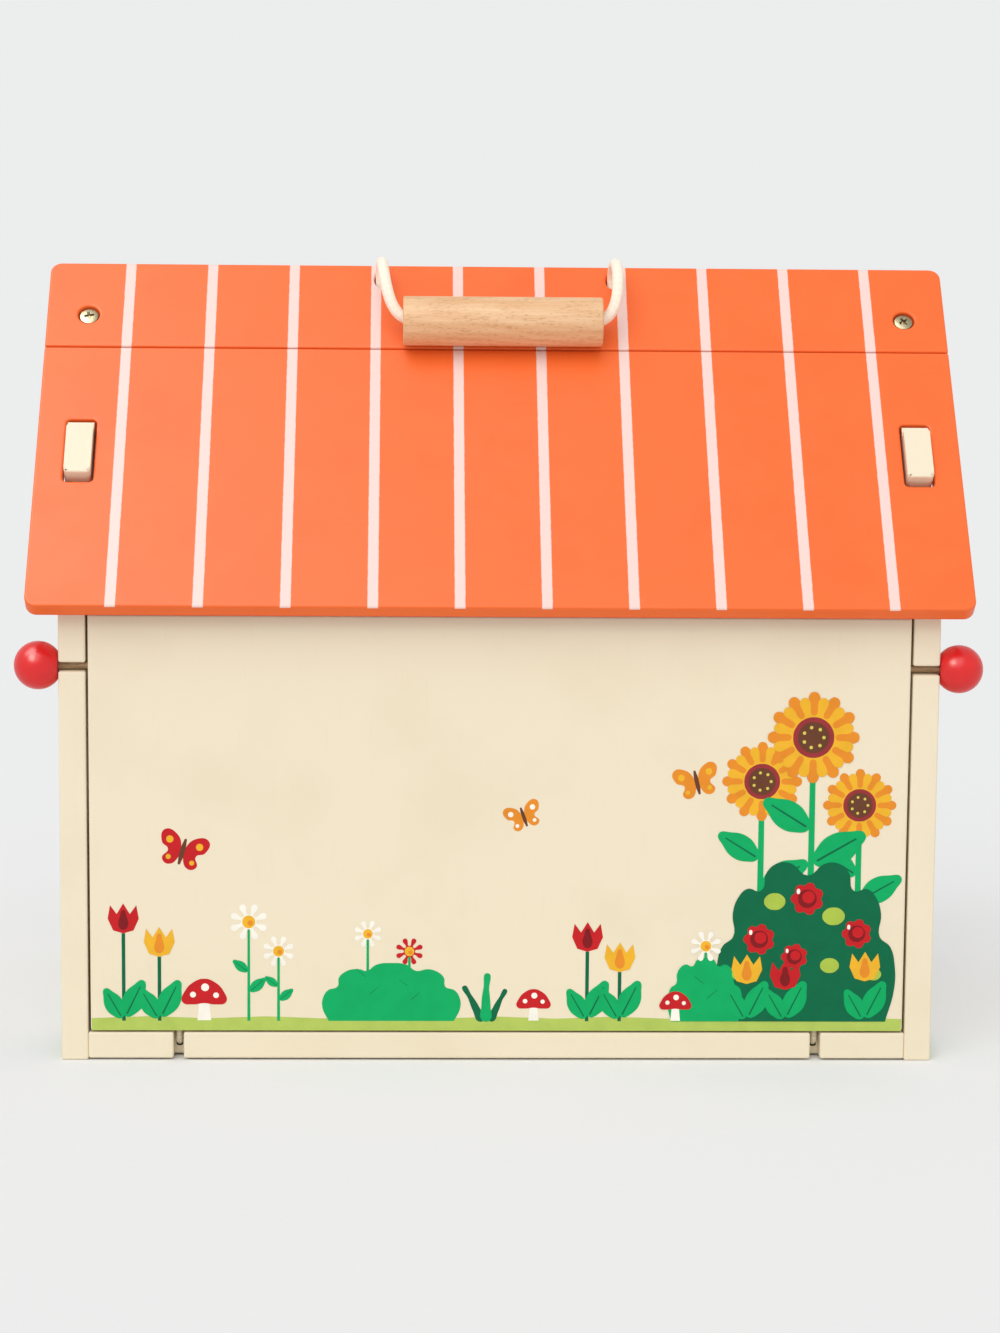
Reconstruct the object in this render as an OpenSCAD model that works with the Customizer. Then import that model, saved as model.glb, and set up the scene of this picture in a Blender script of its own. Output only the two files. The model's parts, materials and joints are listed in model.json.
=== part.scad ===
// Fold-up toy barn that closes into a carrying case.
// Origin at the middle of the foot rectangle, X along the ridge, front towards -Y, Z up, millimetres.

/* [Roof] */
// Roof overhang past each gable
roof_overhang = 10; // [2:1:20]
// Roof overhang past the front and back edges of the gables
eave_overhang = 11; // [6:1:20]
// Height of the ridge edge above the floor
ridge_z = 265.94; // [220:0.01:300]
// Pitch of the roof above level
roof_pitch = 49; // [40:1:55]
// Thickness of the roof boards
roof_t = 6; // [4:0.5:9]
// Width of the fixed strip below the ridge, down the slope
strip_w = 37.4; // [30:0.1:50]
// Open seam between the strip and the lifting panel
seam_gap = 0.4; // [0.2:0.1:1]
// Corner radius of the roof boards
roof_corner_r = 4; // [1:0.5:8]

/* [Walls] */
// Distance between the outer faces of the two gables
wall_span = 294; // [250:1:340]
// Depth of the gables from front edge to back edge
wall_depth = 170; // [140:1:190]
// Thickness of the gable, wall, floor and loft boards
board_t = 9; // [6:0.5:12]
// Gap between the floor and the underside of the base board
base_lift = 0.6; // [0:0.1:2]
// Gap between the top of the back wall and the roof
back_wall_gap = 0.5; // [0.3:0.1:4]

/* [Front panel] */
// Gap between the top edge of the folding panel and the eave it swings under
flap_gap = 0.3; // [0.2:0.1:3]
// Distance from the top edge of the folding panel down to the side rods
rod_drop = 17.57; // [12:0.01:45]
// Diameter of the side rods
rod_d = 2.4; // [2:0.1:4]
// Diameter of the ball knobs
knob_d = 16.2; // [10:0.1:22]
// Distance of the hinge cords from the middle
hinge_x = 107.7; // [80:0.1:120]
// Diameter of the elastic hinge cord
hinge_cord_d = 2.2; // [1.5:0.1:3]

/* [Doors and windows] */
// Left edge of the doorway
door_left = -32; // [-50:1:-20]
// Right edge of the doorway
door_right = 56; // [40:1:70]
// Sill height of the doorway
door_sill = 17; // [14:0.5:25]
// Lintel height of the doorway
door_head = 128; // [110:1:134]
// Thickness of the door leaves
leaf_t = 6; // [4:0.5:8]
// Gap all round the door leaves
leaf_gap = 0.4; // [0.3:0.1:1]
// Diameter of the door pins
pin_d = 2; // [1.5:0.1:3]
// Width of the upper gable windows
upper_window_w = 36; // [20:1:50]
// Height of the upper gable windows
upper_window_h = 48; // [20:1:52]
// Width of the lower gable windows
lower_window_w = 100; // [60:1:120]
// Height of the lower gable windows
lower_window_h = 42; // [20:1:60]
// Width of the back windows
back_window_w = 42; // [20:1:60]
// Height of the back windows
back_window_h = 44; // [20:1:60]

/* [Loft, stall and ladder] */
// Underside of the loft floor
loft_z = 135; // [120:1:145]
// Height of the stall fence
fence_h = 50; // [35:1:60]
// Thickness of the stall boards
fence_t = 5; // [4:0.5:8]
// Width of the ladder
ladder_w = 24; // [18:1:32]
// Lean of the ladder above level
ladder_lean = 73; // [60:1:80]

/* [Carrying handle] */
// Length of the round grip
grip_len = 69; // [50:1:90]
// Diameter of the round grip
grip_d = 17; // [12:0.5:22]
// Distance of the grip to the right of the middle
grip_shift = 1.4; // [-3:0.1:3]
// Diameter of the handle cord
cord_d = 4; // [3:0.1:5]
// Distance of the cord holes from the middle
cord_x = 40.8; // [36:0.1:60]

/* [Hidden] */
$fn = 48;

roof_len = wall_span + 2 * roof_overhang;
half_depth = wall_depth / 2 + eave_overhang;
cosp = cos(roof_pitch);
sinp = sin(roof_pitch);
slope_len = half_depth / cosp;
gable_out = wall_span / 2;
gable_in = gable_out - board_t;
half_wall = wall_depth / 2;
under_apex = ridge_z - roof_t / cosp;
under_eave = under_apex - half_wall * sinp / cosp;
base_top = base_lift + board_t;
back_wall_top = under_eave - back_wall_gap;
flap_top = ridge_z - slope_len * sinp - roof_t * cosp - flap_gap;
rod_z = flap_top - rod_drop;
wall_y = half_wall - board_t;

// tabs that stand up from the front slope of each gable
tab_top_s = 70.5;
tab_end_s = 93.4;
tab_step = 2.4;
tab_root = 10;
tab_corner_r = 1.5;
tab_rise = 2.5;
slot_top_s = 69.5;
slot_end_s = tab_end_s + 2.3;
slot_in = 0.9;
slot_out = 0.4;

// fixing screws
screw_head_d = 6.8;
screw_seat_d = 7.5;
screw_sink = 2.4;
screw_shank_d = 3;
screw_top = 0.3;
cross_len = 4.2;
cross_w = 1;
cross_depth = 1.1;
side_screw_len = 30;
roof_screw_s = 23.3;
rear_top_s = 34;
rear_low_s = 110;
roof_screw_len = 22;
screw_x = gable_out - board_t / 2;
base_screw_y = [-45, 45];
loft_screw_y = [30, 60];
bolt_z = [36, 120];
nut_x = 121;
nut_d = 8;
bolt_d = 4;
bolt_head_d = 7.2;
bolt_head_h = 2.7;
bolt_seat_d = 8;
bolt_seat = 3;
bolt_key = 3.4;
bolt_key_depth = 1.5;
nut_gap = 0.3;
nut_slot = 1.2;
nut_slot_len = 6;
nut_slot_depth = 0.7;

// front panel turning line, inside the front edge of the base board
hinge_y = -(half_wall - board_t / 2);
hinge_z = base_lift + board_t / 2;
cove_r = 6.66;
flap_half = gable_in - 0.8;
slot_w = 3.4;
hinge_bore = 17;
hinge_cord_hold = 13;
rod_hold = 15;
knob_gap = 0.3;
knob_flat = 1.4;
knob_x = gable_out + knob_gap + knob_d / 2 - knob_flat;

// windows: heights of their middles above the floor and corner radius
upper_window_z = 176;
lower_window_z = 81;
back_window_z = 75;
back_window_in = 38;
back_window_x = gable_in - back_window_in;
window_r = 4;

// back doors
door_y = half_wall - leaf_t / 2;
leaf_r = leaf_t / 2;
left_pin_x = door_left + leaf_r + leaf_gap;
right_pin_x = door_right - leaf_r - leaf_gap;
door_mid = (door_left + door_right) / 2;
leaf_low = door_sill + leaf_gap;
leaf_high = door_head - leaf_gap;
pin_hold = 6;
pin_in_leaf = 8;
pin_room = 0.4;

// loft outline
loft_back = wall_y;
loft_jog_a = [48, 0];
loft_jog_b = [78, -70];
loft_top = loft_z + board_t;

// stall
stall_x = -68;
stall_y = -4;
fence_slot_z = [21, 36];
fence_slot_h = 7;
fence_slot_r = 1.5;
fence_post_a = 8;
fence_post_b = 14;
fence_post_c = 13;
fence_post_d = 12;
divider_x = 60;
divider_front = 13;
divider_low = 41;
divider_high = 48;
divider_step = 12;
divider_run = 18;

// ladder
ladder_t = 8;
ladder_foot = 0.15;
ladder_gap = 0.2;
ladder_side = atan2(loft_jog_b[1] - loft_jog_a[1], loft_jog_b[0] - loft_jog_a[0]);
ladder_at = 17;
ladder_step = 20.6;
ladder_first = 20;
step_depth = 3.6;

// handle
hole_y = -3.94;
hole_z = ridge_z + hole_y * sinp / cosp;
hole_d = 5;
hole_cut = 20;
grip_drop = [-23.96, -14.19];
grip_y = hole_y + grip_drop[0];
grip_z = hole_z + grip_drop[1];
grip_bore = 4.8;
grip_mouth = 8.4;
grip_mouth_depth = 5;
grip_edge_r = 0.8;
knot_d = 9.2;
knot_drop = 15.2;
knot_z = hole_z - knot_drop;
cord_sunk = 9.8;
cord_low = hole_z - cord_sunk;

// left part of the handle cord from the mouth of its hole to the grip: first the end at the knot
cord_in_left = [
  [0, 0, -cord_sunk], [0, 0, -6.9], [0, 0, -3.9], [0, 0, -0.9],
  [0, -0.5, 1.3], [0.05, -1.9, 3.3], [0.1, -4.3, 4.9], [0.2, -7.4, 5.6],
  [0.35, -10.6, 5.3], [0.6, -13.6, 4.2], [0.9, -16.2, 2.4], [1.35, -18.3, 0.1],
  [1.9, -19.85, -2.5], [2.6, -21.1, -5.2], [3.6, -22, -7.9], [5, -22.7, -10.4],
  [6.6, -23.2, -12.15], [8.4, -23.53, -13.25], [10.6, -23.81, -13.89], [13.2, -23.96, -14.19],
  [18, -23.96, -14.19], [28, -23.96, -14.19]
];
// right part, steeper because the grip hangs a little to the right of the middle
cord_in_right = [
  [0, 0, -cord_sunk], [0, 0, -6.9], [0, 0, -3.9], [0, 0, -0.9],
  [0, -0.5, 1.3], [-0.05, -1.9, 3.3], [-0.15, -4.3, 4.9], [-0.3, -7.4, 5.6],
  [-0.45, -10.6, 5.3], [-0.6, -13.6, 4.2], [-0.7, -16.2, 2.4], [-0.7, -18.3, 0.1],
  [-0.55, -19.85, -2.5], [-0.2, -21.1, -5.2], [0.4, -21.95, -7.7], [1.3, -22.6, -9.9],
  [2.6, -23.1, -11.75], [4.4, -23.5, -13.15], [6.6, -23.8, -13.88], [9.6, -23.96, -14.19],
  [15, -23.96, -14.19], [28, -23.96, -14.19]
];
cord_left = [for (p = cord_in_left) [p[0] - cord_x, p[1] + hole_y, p[2] + hole_z]];
cord_right = [for (p = cord_in_right) [p[0] - cord_x, p[1] + hole_y, p[2] + hole_z]];
cord_points = concat(cord_left, mirrored(cord_right));

// left hinge cord, from the bore in the panel to the bore in the base
hinge_points = [
  [0, 0, 16], [0, 0, 12], [0, 0, 8], [0, 0, 5], [0, 0, 2.8], [0, 0.25, 1.6],
  [0, 0.8, 0.7], [0, 1.6, 0.2], [0, 2.8, 0], [0, 5, 0], [0, 8, 0], [0, 12, 0]
];

function mirrored(p) = [for (i = [len(p) - 1 : -1 : 0]) [-p[i][0], p[i][1], p[i][2]]];
function unit(v) = v / norm(v);
function before(p, i) = p[max(i - 1, 0)];
function after(p, i) = p[min(i + 1, len(p) - 1)];
function along(p, i) = unit(after(p, i) - before(p, i));
function level_out(t) = abs(t[0]) > 0.9 ? unit(cross(t, [0, 0, 1])) : unit(cross(t, [1, 0, 0]));
function carried(u, t) = unit(u - t * (u * t));
function frames(p, i = 0, u = undef) =
  i >= len(p) ? [] :
  let (t = along(p, i), v = i == 0 ? level_out(t) : carried(u, t))
  concat([[v, cross(t, v)]], frames(p, i + 1, v));
function ring(p, f, i, r, n) = [
  for (k = [0 : n - 1]) p[i] + r * (cos(360 * k / n) * f[i][0] + sin(360 * k / n) * f[i][1])
];
function rings(p, f, r, n) = [for (i = [0 : len(p) - 1]) for (q = ring(p, f, i, r, n)) q];

module tube(p, d, n = 12) {
  last = len(p) - 1;
  sides = [
    for (i = [0 : last - 1]) for (k = [0 : n - 1])
    [i * n + k, (i + 1) * n + k, (i + 1) * n + (k + 1) % n, i * n + (k + 1) % n]
  ];
  first_cap = [for (k = [0 : n - 1]) k];
  last_cap = [for (k = [n - 1 : -1 : 0]) last * n + k];
  polyhedron(
    points = rings(p, frames(p), d / 2, n),
    faces = concat([first_cap], sides, [last_cap]),
    convexity = 8
  );
}

// front slope frame: local -Y runs down the slope, local Z stands square out of it
module on_front() {
  translate([0, 0, ridge_z])
    rotate([roof_pitch, 0, 0])
      children();
}

module on_rear() {
  mirror([0, 1, 0])
    on_front()
      children();
}

// rectangle with round corners built from plain shapes
module rounded(x0, y0, x1, y1, r) {
  translate([x0 + r, y0])
    square([x1 - x0 - 2 * r, y1 - y0]);
  translate([x0, y0 + r])
    square([x1 - x0, y1 - y0 - 2 * r]);
  for (x = [x0 + r, x1 - r])
    for (y = [y0 + r, y1 - r])
      translate([x, y])
        circle(r);
}

module window(x, z, w, h) {
  rounded(x - w / 2, z - h / 2, x + w / 2, z + h / 2, window_r);
}

// drawing in the YZ plane pushed along X
module across_x(x0, x1) {
  translate([x0, 0, 0])
    rotate([90, 0, 90])
      linear_extrude(x1 - x0)
        children();
}

// drawing in the XZ plane pushed along Y
module across_y(y0, y1) {
  translate([0, y1, 0])
    rotate([90, 0, 0])
      linear_extrude(y1 - y0)
        children();
}

// screw whose head top is at the origin and whose shank runs down
module screw(length) {
  difference() {
    union() {
      translate([0, 0, -screw_sink])
        cylinder(h = screw_sink - screw_top, d = screw_head_d);
      translate([0, 0, -length])
        cylinder(h = length - screw_sink + 0.01, d = screw_shank_d);
    }
    for (turn = [0, 90])
      rotate([0, 0, turn])
        translate([-cross_len / 2, -cross_w / 2, -screw_top - cross_depth])
          cube([cross_len, cross_w, screw_sink]);
  }
}

// space taken out of the boards for one screw
module screw_room(length) {
  translate([0, 0, -screw_sink])
    cylinder(h = screw_sink + 1, d = screw_seat_d);
  translate([0, 0, -length])
    cylinder(h = length, d = screw_shank_d);
}

module roof_screw_places() {
  for (x = [-screw_x, screw_x])
    on_front()
      translate([x, -roof_screw_s, 0])
        children();
}

module rear_screw_places() {
  for (x = [-screw_x, screw_x])
    for (s = [rear_top_s, rear_low_s])
      on_rear()
        translate([x, -s, 0])
          children();
}

// screws driven level through the gables into the base board and the loft floor
module gable_screw_places() {
  for (side = [-1, 1]) {
    for (y = base_screw_y)
      translate([side * gable_out, y, hinge_z])
        rotate([0, side * 90, 0])
          children();
    for (y = loft_screw_y)
      translate([side * gable_out, y, loft_z + board_t / 2])
        rotate([0, side * 90, 0])
          children();
  }
}

module wall_bolt_places() {
  for (side = [-1, 1])
    for (z = bolt_z)
      translate([side * gable_out, half_wall - board_t / 2, z])
        rotate([0, side * 90, 0])
          children();
}

module base_board() {
  color("wheat")
    difference() {
      translate([-gable_in, -half_wall, base_lift])
        cube([2 * gable_in, wall_depth, board_t]);
      for (x = [-hinge_x, hinge_x]) {
        translate([x - slot_w / 2, -half_wall - 1, base_lift - 1])
          cube([slot_w, half_wall + 1 + hinge_y + 2, board_t + 2]);
        translate([x, hinge_y, hinge_z])
          rotate([-90, 0, 0])
            cylinder(h = hinge_cord_hold, d = hinge_cord_d);
      }
      gable_screw_places()
        screw_room(side_screw_len);
    }
}

module gable_outline() {
  polygon([
    [-half_wall, 0], [half_wall, 0], [half_wall, under_eave],
    [0, under_apex], [-half_wall, under_eave]
  ]);
}

// tab in the slope frame: upright block with round corners and a low step at its upper end
module tab(x0, x1) {
  translate([0, 0, -tab_root])
    linear_extrude(tab_root + tab_rise)
      rounded(x0, -tab_end_s, x1, -tab_top_s - tab_step, tab_corner_r);
  translate([x0, -tab_top_s - tab_step - 2 * tab_corner_r, -tab_root])
    cube([x1 - x0, tab_step + 2 * tab_corner_r, tab_root - 0.4]);
}

module gable(side) {
  x0 = side < 0 ? -gable_out : gable_in;
  x1 = x0 + board_t;
  color("cornsilk")
    difference() {
      union() {
        across_x(x0, x1)
          gable_outline();
        on_front()
          tab(x0, x1);
      }
      across_x(x0 - 1, x1 + 1)
        window(0, upper_window_z, upper_window_w, upper_window_h);
      across_x(x0 - 1, x1 + 1)
        window(0, lower_window_z, lower_window_w, lower_window_h);
      translate([x0 - 1, -half_wall - 1, rod_z - rod_d / 2 - 0.3])
        cube([board_t + 2, hinge_y + half_wall + 1, rod_d + 0.6]);
      translate([x0 - 1, hinge_y, rod_z])
        rotate([0, 90, 0])
          cylinder(h = board_t + 2, d = rod_d + 0.6);
      gable_screw_places()
        screw_room(side_screw_len);
      wall_bolt_places()
        bolt_room();
      roof_screw_places()
        screw_room(roof_screw_len);
      rear_screw_places()
        screw_room(roof_screw_len);
    }
}

module bolt_room() {
  translate([0, 0, -bolt_seat])
    cylinder(h = bolt_seat + 1, d = bolt_seat_d);
  translate([0, 0, -(gable_out - nut_x + 7)])
    cylinder(h = gable_out - nut_x + 7, d = bolt_d);
}

module back_wall() {
  color("cornsilk")
    difference() {
      translate([-gable_in, wall_y, base_top])
        cube([2 * gable_in, board_t, back_wall_top - base_top]);
      for (x = [-back_window_x, back_window_x])
        across_y(wall_y - 1, half_wall + 1)
          window(x, back_window_z, back_window_w, back_window_h);
      translate([door_left, wall_y - 1, door_sill])
        cube([door_right - door_left, board_t + 2, door_head - door_sill]);
      for (x = [left_pin_x, right_pin_x])
        translate([x, door_y, door_sill - pin_hold])
          cylinder(h = door_head - door_sill + 2 * pin_hold, d = pin_d);
      wall_bolt_places()
        bolt_room();
      nut_places()
        nut_shape(board_t + 2);
    }
}

module nut_places() {
  for (side = [-1, 1])
    for (z = bolt_z)
      translate([side * nut_x, wall_y + board_t / 2, z])
        rotate([90, 0, 0])
          children();
}

module nut_shape(h) {
  translate([0, 0, -h / 2])
    cylinder(h = h, d = nut_d);
}

module loft_floor() {
  color("burlywood")
    difference() {
      translate([0, 0, loft_z])
        linear_extrude(board_t)
          polygon([
            [-gable_in, 0], loft_jog_a, loft_jog_b, [gable_in, loft_jog_b[1]],
            [gable_in, loft_back], [-gable_in, loft_back]
          ]);
      gable_screw_places()
        screw_room(side_screw_len);
    }
}

module roof_board(s0, s1, r) {
  translate([0, 0, -roof_t])
    linear_extrude(roof_t)
      rounded(-roof_len / 2, -s1, roof_len / 2, -s0, r);
}

module rear_roof_panel() {
  color("tomato")
    difference() {
      on_rear()
        roof_board(0, slope_len, roof_corner_r);
      on_front()
        translate([-roof_len, -slope_len, -roof_t])
          cube([2 * roof_len, 2 * slope_len, slope_len]);
      rear_screw_places()
        screw_room(roof_screw_len);
    }
}

module ridge_strip() {
  color("tomato")
    difference() {
      on_front()
        translate([0, 0, -roof_t])
          linear_extrude(roof_t)
            strip_outline();
      for (x = [-cord_x, cord_x])
        translate([x, hole_y, hole_z - hole_cut])
          cylinder(h = 2 * hole_cut, d = hole_d);
      roof_screw_places()
        screw_room(roof_screw_len);
    }
}

// strip with round corners at the ridge and square corners at the seam
module strip_outline() {
  r = roof_corner_r;
  translate([-roof_len / 2 + r, -strip_w])
    square([roof_len - 2 * r, strip_w]);
  translate([-roof_len / 2, -strip_w])
    square([roof_len, strip_w - r]);
  for (x = [-roof_len / 2 + r, roof_len / 2 - r])
    translate([x, -r])
      circle(r);
}

module panel_outline() {
  r = roof_corner_r;
  s0 = strip_w + seam_gap;
  translate([-roof_len / 2, -slope_len + r])
    square([roof_len, slope_len - s0 - r]);
  translate([-roof_len / 2 + r, -slope_len])
    square([roof_len - 2 * r, slope_len - s0]);
  for (x = [-roof_len / 2 + r, roof_len / 2 - r])
    translate([x, -slope_len + r])
      circle(r);
}

module front_roof_panel() {
  color("coral")
    difference() {
      on_front()
        translate([0, 0, -roof_t])
          linear_extrude(roof_t)
            panel_outline();
      for (side = [-1, 1])
        on_front()
          translate([0, 0, -roof_t - 1])
            linear_extrude(roof_t + 2)
              mirror([side < 0 ? 1 : 0, 0])
                rounded(gable_in - slot_in, -slot_end_s, gable_out + slot_out, -slot_top_s, 1.7);
    }
}

module roof_screws() {
  color("silver")
    roof_screw_places()
      screw(roof_screw_len);
}

module rear_roof_screws() {
  color("silver")
    rear_screw_places()
      screw(roof_screw_len);
}

module gable_screws() {
  color("silver")
    gable_screw_places()
      screw(side_screw_len);
}

module wall_bolts() {
  color("silver")
    wall_bolt_places()
      difference() {
        union() {
          translate([0, 0, -bolt_seat])
            cylinder(h = bolt_head_h, d = bolt_head_d);
          translate([0, 0, -(gable_out - nut_x + nut_d - 2)])
            cylinder(h = gable_out - nut_x + nut_d - 2 - bolt_seat + 0.01, d = bolt_d);
        }
        translate([0, 0, -bolt_seat + bolt_head_h - bolt_key_depth])
          cylinder(h = bolt_seat, d = bolt_key, $fn = 6);
      }
}

module barrel_nuts() {
  color("silver")
    difference() {
      nut_places()
        nut_shape(board_t - 2 * nut_gap);
      wall_bolt_places()
        translate([0, 0, -gable_out])
          cylinder(h = gable_out, d = bolt_d);
      nut_places()
        for (z = [-board_t / 2, board_t / 2])
          translate([-nut_slot_len / 2, -nut_slot / 2, z - nut_gap - nut_slot_depth])
            cube([nut_slot_len, nut_slot, 2 * (nut_gap + nut_slot_depth)]);
    }
}

module fence_slots(a, b) {
  h = fence_slot_h / 2;
  for (z = fence_slot_z)
    rounded(a, base_top + z - h, b, base_top + z + h, fence_slot_r);
}

module stall_front_fence() {
  color("wheat")
    difference() {
      translate([-gable_in, stall_y - fence_t / 2, base_top])
        cube([gable_in + stall_x + fence_t / 2, fence_t, fence_h]);
      across_y(stall_y - fence_t, stall_y + fence_t)
        fence_slots(-gable_in + fence_post_a, stall_x - fence_post_b);
    }
}

module stall_side_fence() {
  color("wheat")
    difference() {
      translate([stall_x - fence_t / 2, stall_y + fence_t / 2, base_top])
        cube([fence_t, wall_y - stall_y - fence_t / 2, fence_h]);
      across_x(stall_x - fence_t, stall_x + fence_t)
        fence_slots(stall_y + fence_post_c, wall_y - fence_post_d);
    }
}

module stall_divider() {
  color("wheat")
    across_x(divider_x - fence_t / 2, divider_x + fence_t / 2)
      polygon([
        [divider_front, base_top], [wall_y, base_top], [wall_y, base_top + divider_high],
        [divider_front + divider_step + divider_run, base_top + divider_high],
        [divider_front + divider_step, base_top + divider_low],
        [divider_front, base_top + divider_low]
      ]);
}

module cord_knots() {
  color("ivory")
    for (x = [-cord_x, cord_x]) {
      difference() {
        translate([x, hole_y, knot_z])
          sphere(d = knot_d);
        on_front()
          translate([x - knot_d, -knot_d - grip_d, -roof_t])
            cube([2 * knot_d, 2 * (knot_d + grip_d), knot_d + roof_t]);
      }
      translate([x, hole_y, knot_z])
        cylinder(h = cord_low - knot_z, d = cord_d);
    }
}

module door_pins() {
  color("silver")
    for (x = [left_pin_x, right_pin_x]) {
      translate([x, door_y, door_sill - pin_hold])
        cylinder(h = pin_hold + leaf_gap + pin_in_leaf, d = pin_d);
      translate([x, door_y, leaf_high - pin_in_leaf])
        cylinder(h = pin_hold + leaf_gap + pin_in_leaf, d = pin_d);
    }
}

module hinge_cord(side) {
  color("ivory")
    translate([side * hinge_x, hinge_y, hinge_z])
      tube(hinge_points, hinge_cord_d, 12);
}

module front_panel() {
  color("cornsilk")
    difference() {
      translate([-flap_half, -half_wall, base_top - 0.2])
        cube([2 * flap_half, board_t, flap_top - base_top + 0.2]);
      translate([-flap_half - 1, hinge_y, hinge_z])
        rotate([0, 90, 0])
          cylinder(h = 2 * flap_half + 2, r = cove_r);
      for (x = [-hinge_x, hinge_x])
        translate([x, hinge_y, hinge_z])
          cylinder(h = hinge_bore, d = hinge_cord_d + 0.7);
      for (side = [-1, 1])
        translate([side * flap_half, hinge_y, rod_z])
          rotate([0, side * -90, 0])
            translate([0, 0, -1])
              cylinder(h = rod_hold + 1, d = rod_d);
    }
}

module knob_rods() {
  color("saddlebrown")
    for (side = [-1, 1])
      translate([side * (flap_half - rod_hold), hinge_y, rod_z])
        rotate([0, side * 90, 0])
          cylinder(h = knob_x - flap_half + rod_hold, d = rod_d);
}

// ball knob with a flat towards the gable and a blind bore for its rod
module knob() {
  color("red")
    translate([-knob_x, hinge_y, rod_z])
      rotate([0, 90, 0])
        rotate_extrude()
          knob_outline();
}

// half outline of the knob: its axis is the left edge and its flat lies at the top
module knob_outline() {
  difference() {
    circle(d = knob_d);
    translate([-knob_d, -knob_d])
      square([knob_d, 2 * knob_d]);
    translate([0, knob_d / 2 - knob_flat])
      square([knob_d, knob_d]);
    translate([0, -0.1])
      square([rod_d / 2 + 0.05, knob_d]);
  }
}

module left_knob() {
  knob();
}

module right_knob() {
  mirror([1, 0, 0])
    knob();
}

module handle_grip() {
  color("burlywood")
    translate([grip_shift, grip_y, grip_z])
      rotate([0, 90, 0])
        rotate_extrude()
          grip_outline();
}

// half section: eased outer corners and a bore that flares towards both ends
module grip_outline() {
  r = grip_edge_r;
  difference() {
    union() {
      translate([grip_bore / 2, -grip_len / 2])
        square([grip_d / 2 - r - grip_bore / 2, grip_len]);
      translate([grip_bore / 2, -grip_len / 2 + r])
        square([grip_d / 2 - grip_bore / 2, grip_len - 2 * r]);
      for (y = [-grip_len / 2 + r, grip_len / 2 - r])
        translate([grip_d / 2 - r, y])
          circle(r);
    }
    for (end = [-1, 1])
      scale([1, end])
        polygon([
          [0, grip_len / 2 - grip_mouth_depth],
          [grip_bore / 2, grip_len / 2 - grip_mouth_depth],
          [grip_mouth / 2, grip_len / 2],
          [grip_mouth / 2, grip_len / 2 + 1],
          [0, grip_len / 2 + 1]
        ]);
  }
}

module handle_cord() {
  color("ivory")
    tube(cord_points, cord_d, 12);
}

module leaf(side) {
  pin_x = side < 0 ? left_pin_x : right_pin_x;
  edge = door_mid + side * leaf_gap / 2;
  x0 = min(pin_x, edge);
  x1 = max(pin_x, edge);
  difference() {
    translate([0, 0, leaf_low])
      linear_extrude(leaf_high - leaf_low) {
        translate([x0, door_y - leaf_r])
          square([x1 - x0, leaf_t]);
        translate([pin_x, door_y])
          circle(leaf_r);
      }
    for (z = [leaf_low - 1, leaf_high - pin_in_leaf - pin_room])
      translate([pin_x, door_y, z])
        cylinder(h = pin_in_leaf + pin_room + 1, d = pin_d + 0.1);
  }
}

module left_door() {
  color("cornsilk")
    leaf(-1);
}

module right_door() {
  color("cornsilk")
    leaf(1);
}

// ladder drawn upright in a plane square to the loft edge, then leaned onto that edge
module ladder() {
  rise = loft_top - base_top;
  run = rise / tan(ladder_lean);
  far = 8;
  color("burlywood")
    translate([loft_jog_a[0], loft_jog_a[1], base_top])
      rotate([0, 0, ladder_side])
        translate([ladder_at, 0, 0])
          rotate([90, 0, 90])
            linear_extrude(ladder_w)
              ladder_profile(run, rise, far);
}

// local x points into the loft, local y points up
module ladder_profile(run, rise, far) {
  slope = run / rise;
  thick = ladder_t / sin(ladder_lean);
  difference() {
    polygon([
      [-run - ladder_gap + ladder_foot * slope, ladder_foot],
      [far * slope - ladder_gap, rise + far],
      [far * slope - ladder_gap - thick, rise + far],
      [-run - ladder_gap - thick + ladder_foot * slope, ladder_foot]
    ]);
    for (i = [0 : 5]) {
      height = ladder_first + i * ladder_step;
      translate([-run - ladder_gap - thick + height * slope, height])
        polygon([[-2, 4.4], [-2, -1.6], [step_depth, -0.6]]);
    }
  }
}

base_board();
gable(-1);  // left_gable
gable(1);  // right_gable
back_wall();
loft_floor();
rear_roof_panel();
ridge_strip();
roof_screws();
rear_roof_screws();
gable_screws();
wall_bolts();
barrel_nuts();
stall_front_fence();
stall_side_fence();
stall_divider();
cord_knots();
door_pins();
hinge_cord(-1);  // left_hinge_cord
hinge_cord(1);  // right_hinge_cord
front_panel();
knob_rods();
left_knob();
right_knob();
front_roof_panel();
handle_grip();
handle_cord();
left_door();
right_door();
ladder();
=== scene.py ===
# Fold-up toy barn: painted boards, rope handle, printed yard and garden.
import json
import math
import bmesh
import bpy
from mathutils import Matrix, Vector

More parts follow.
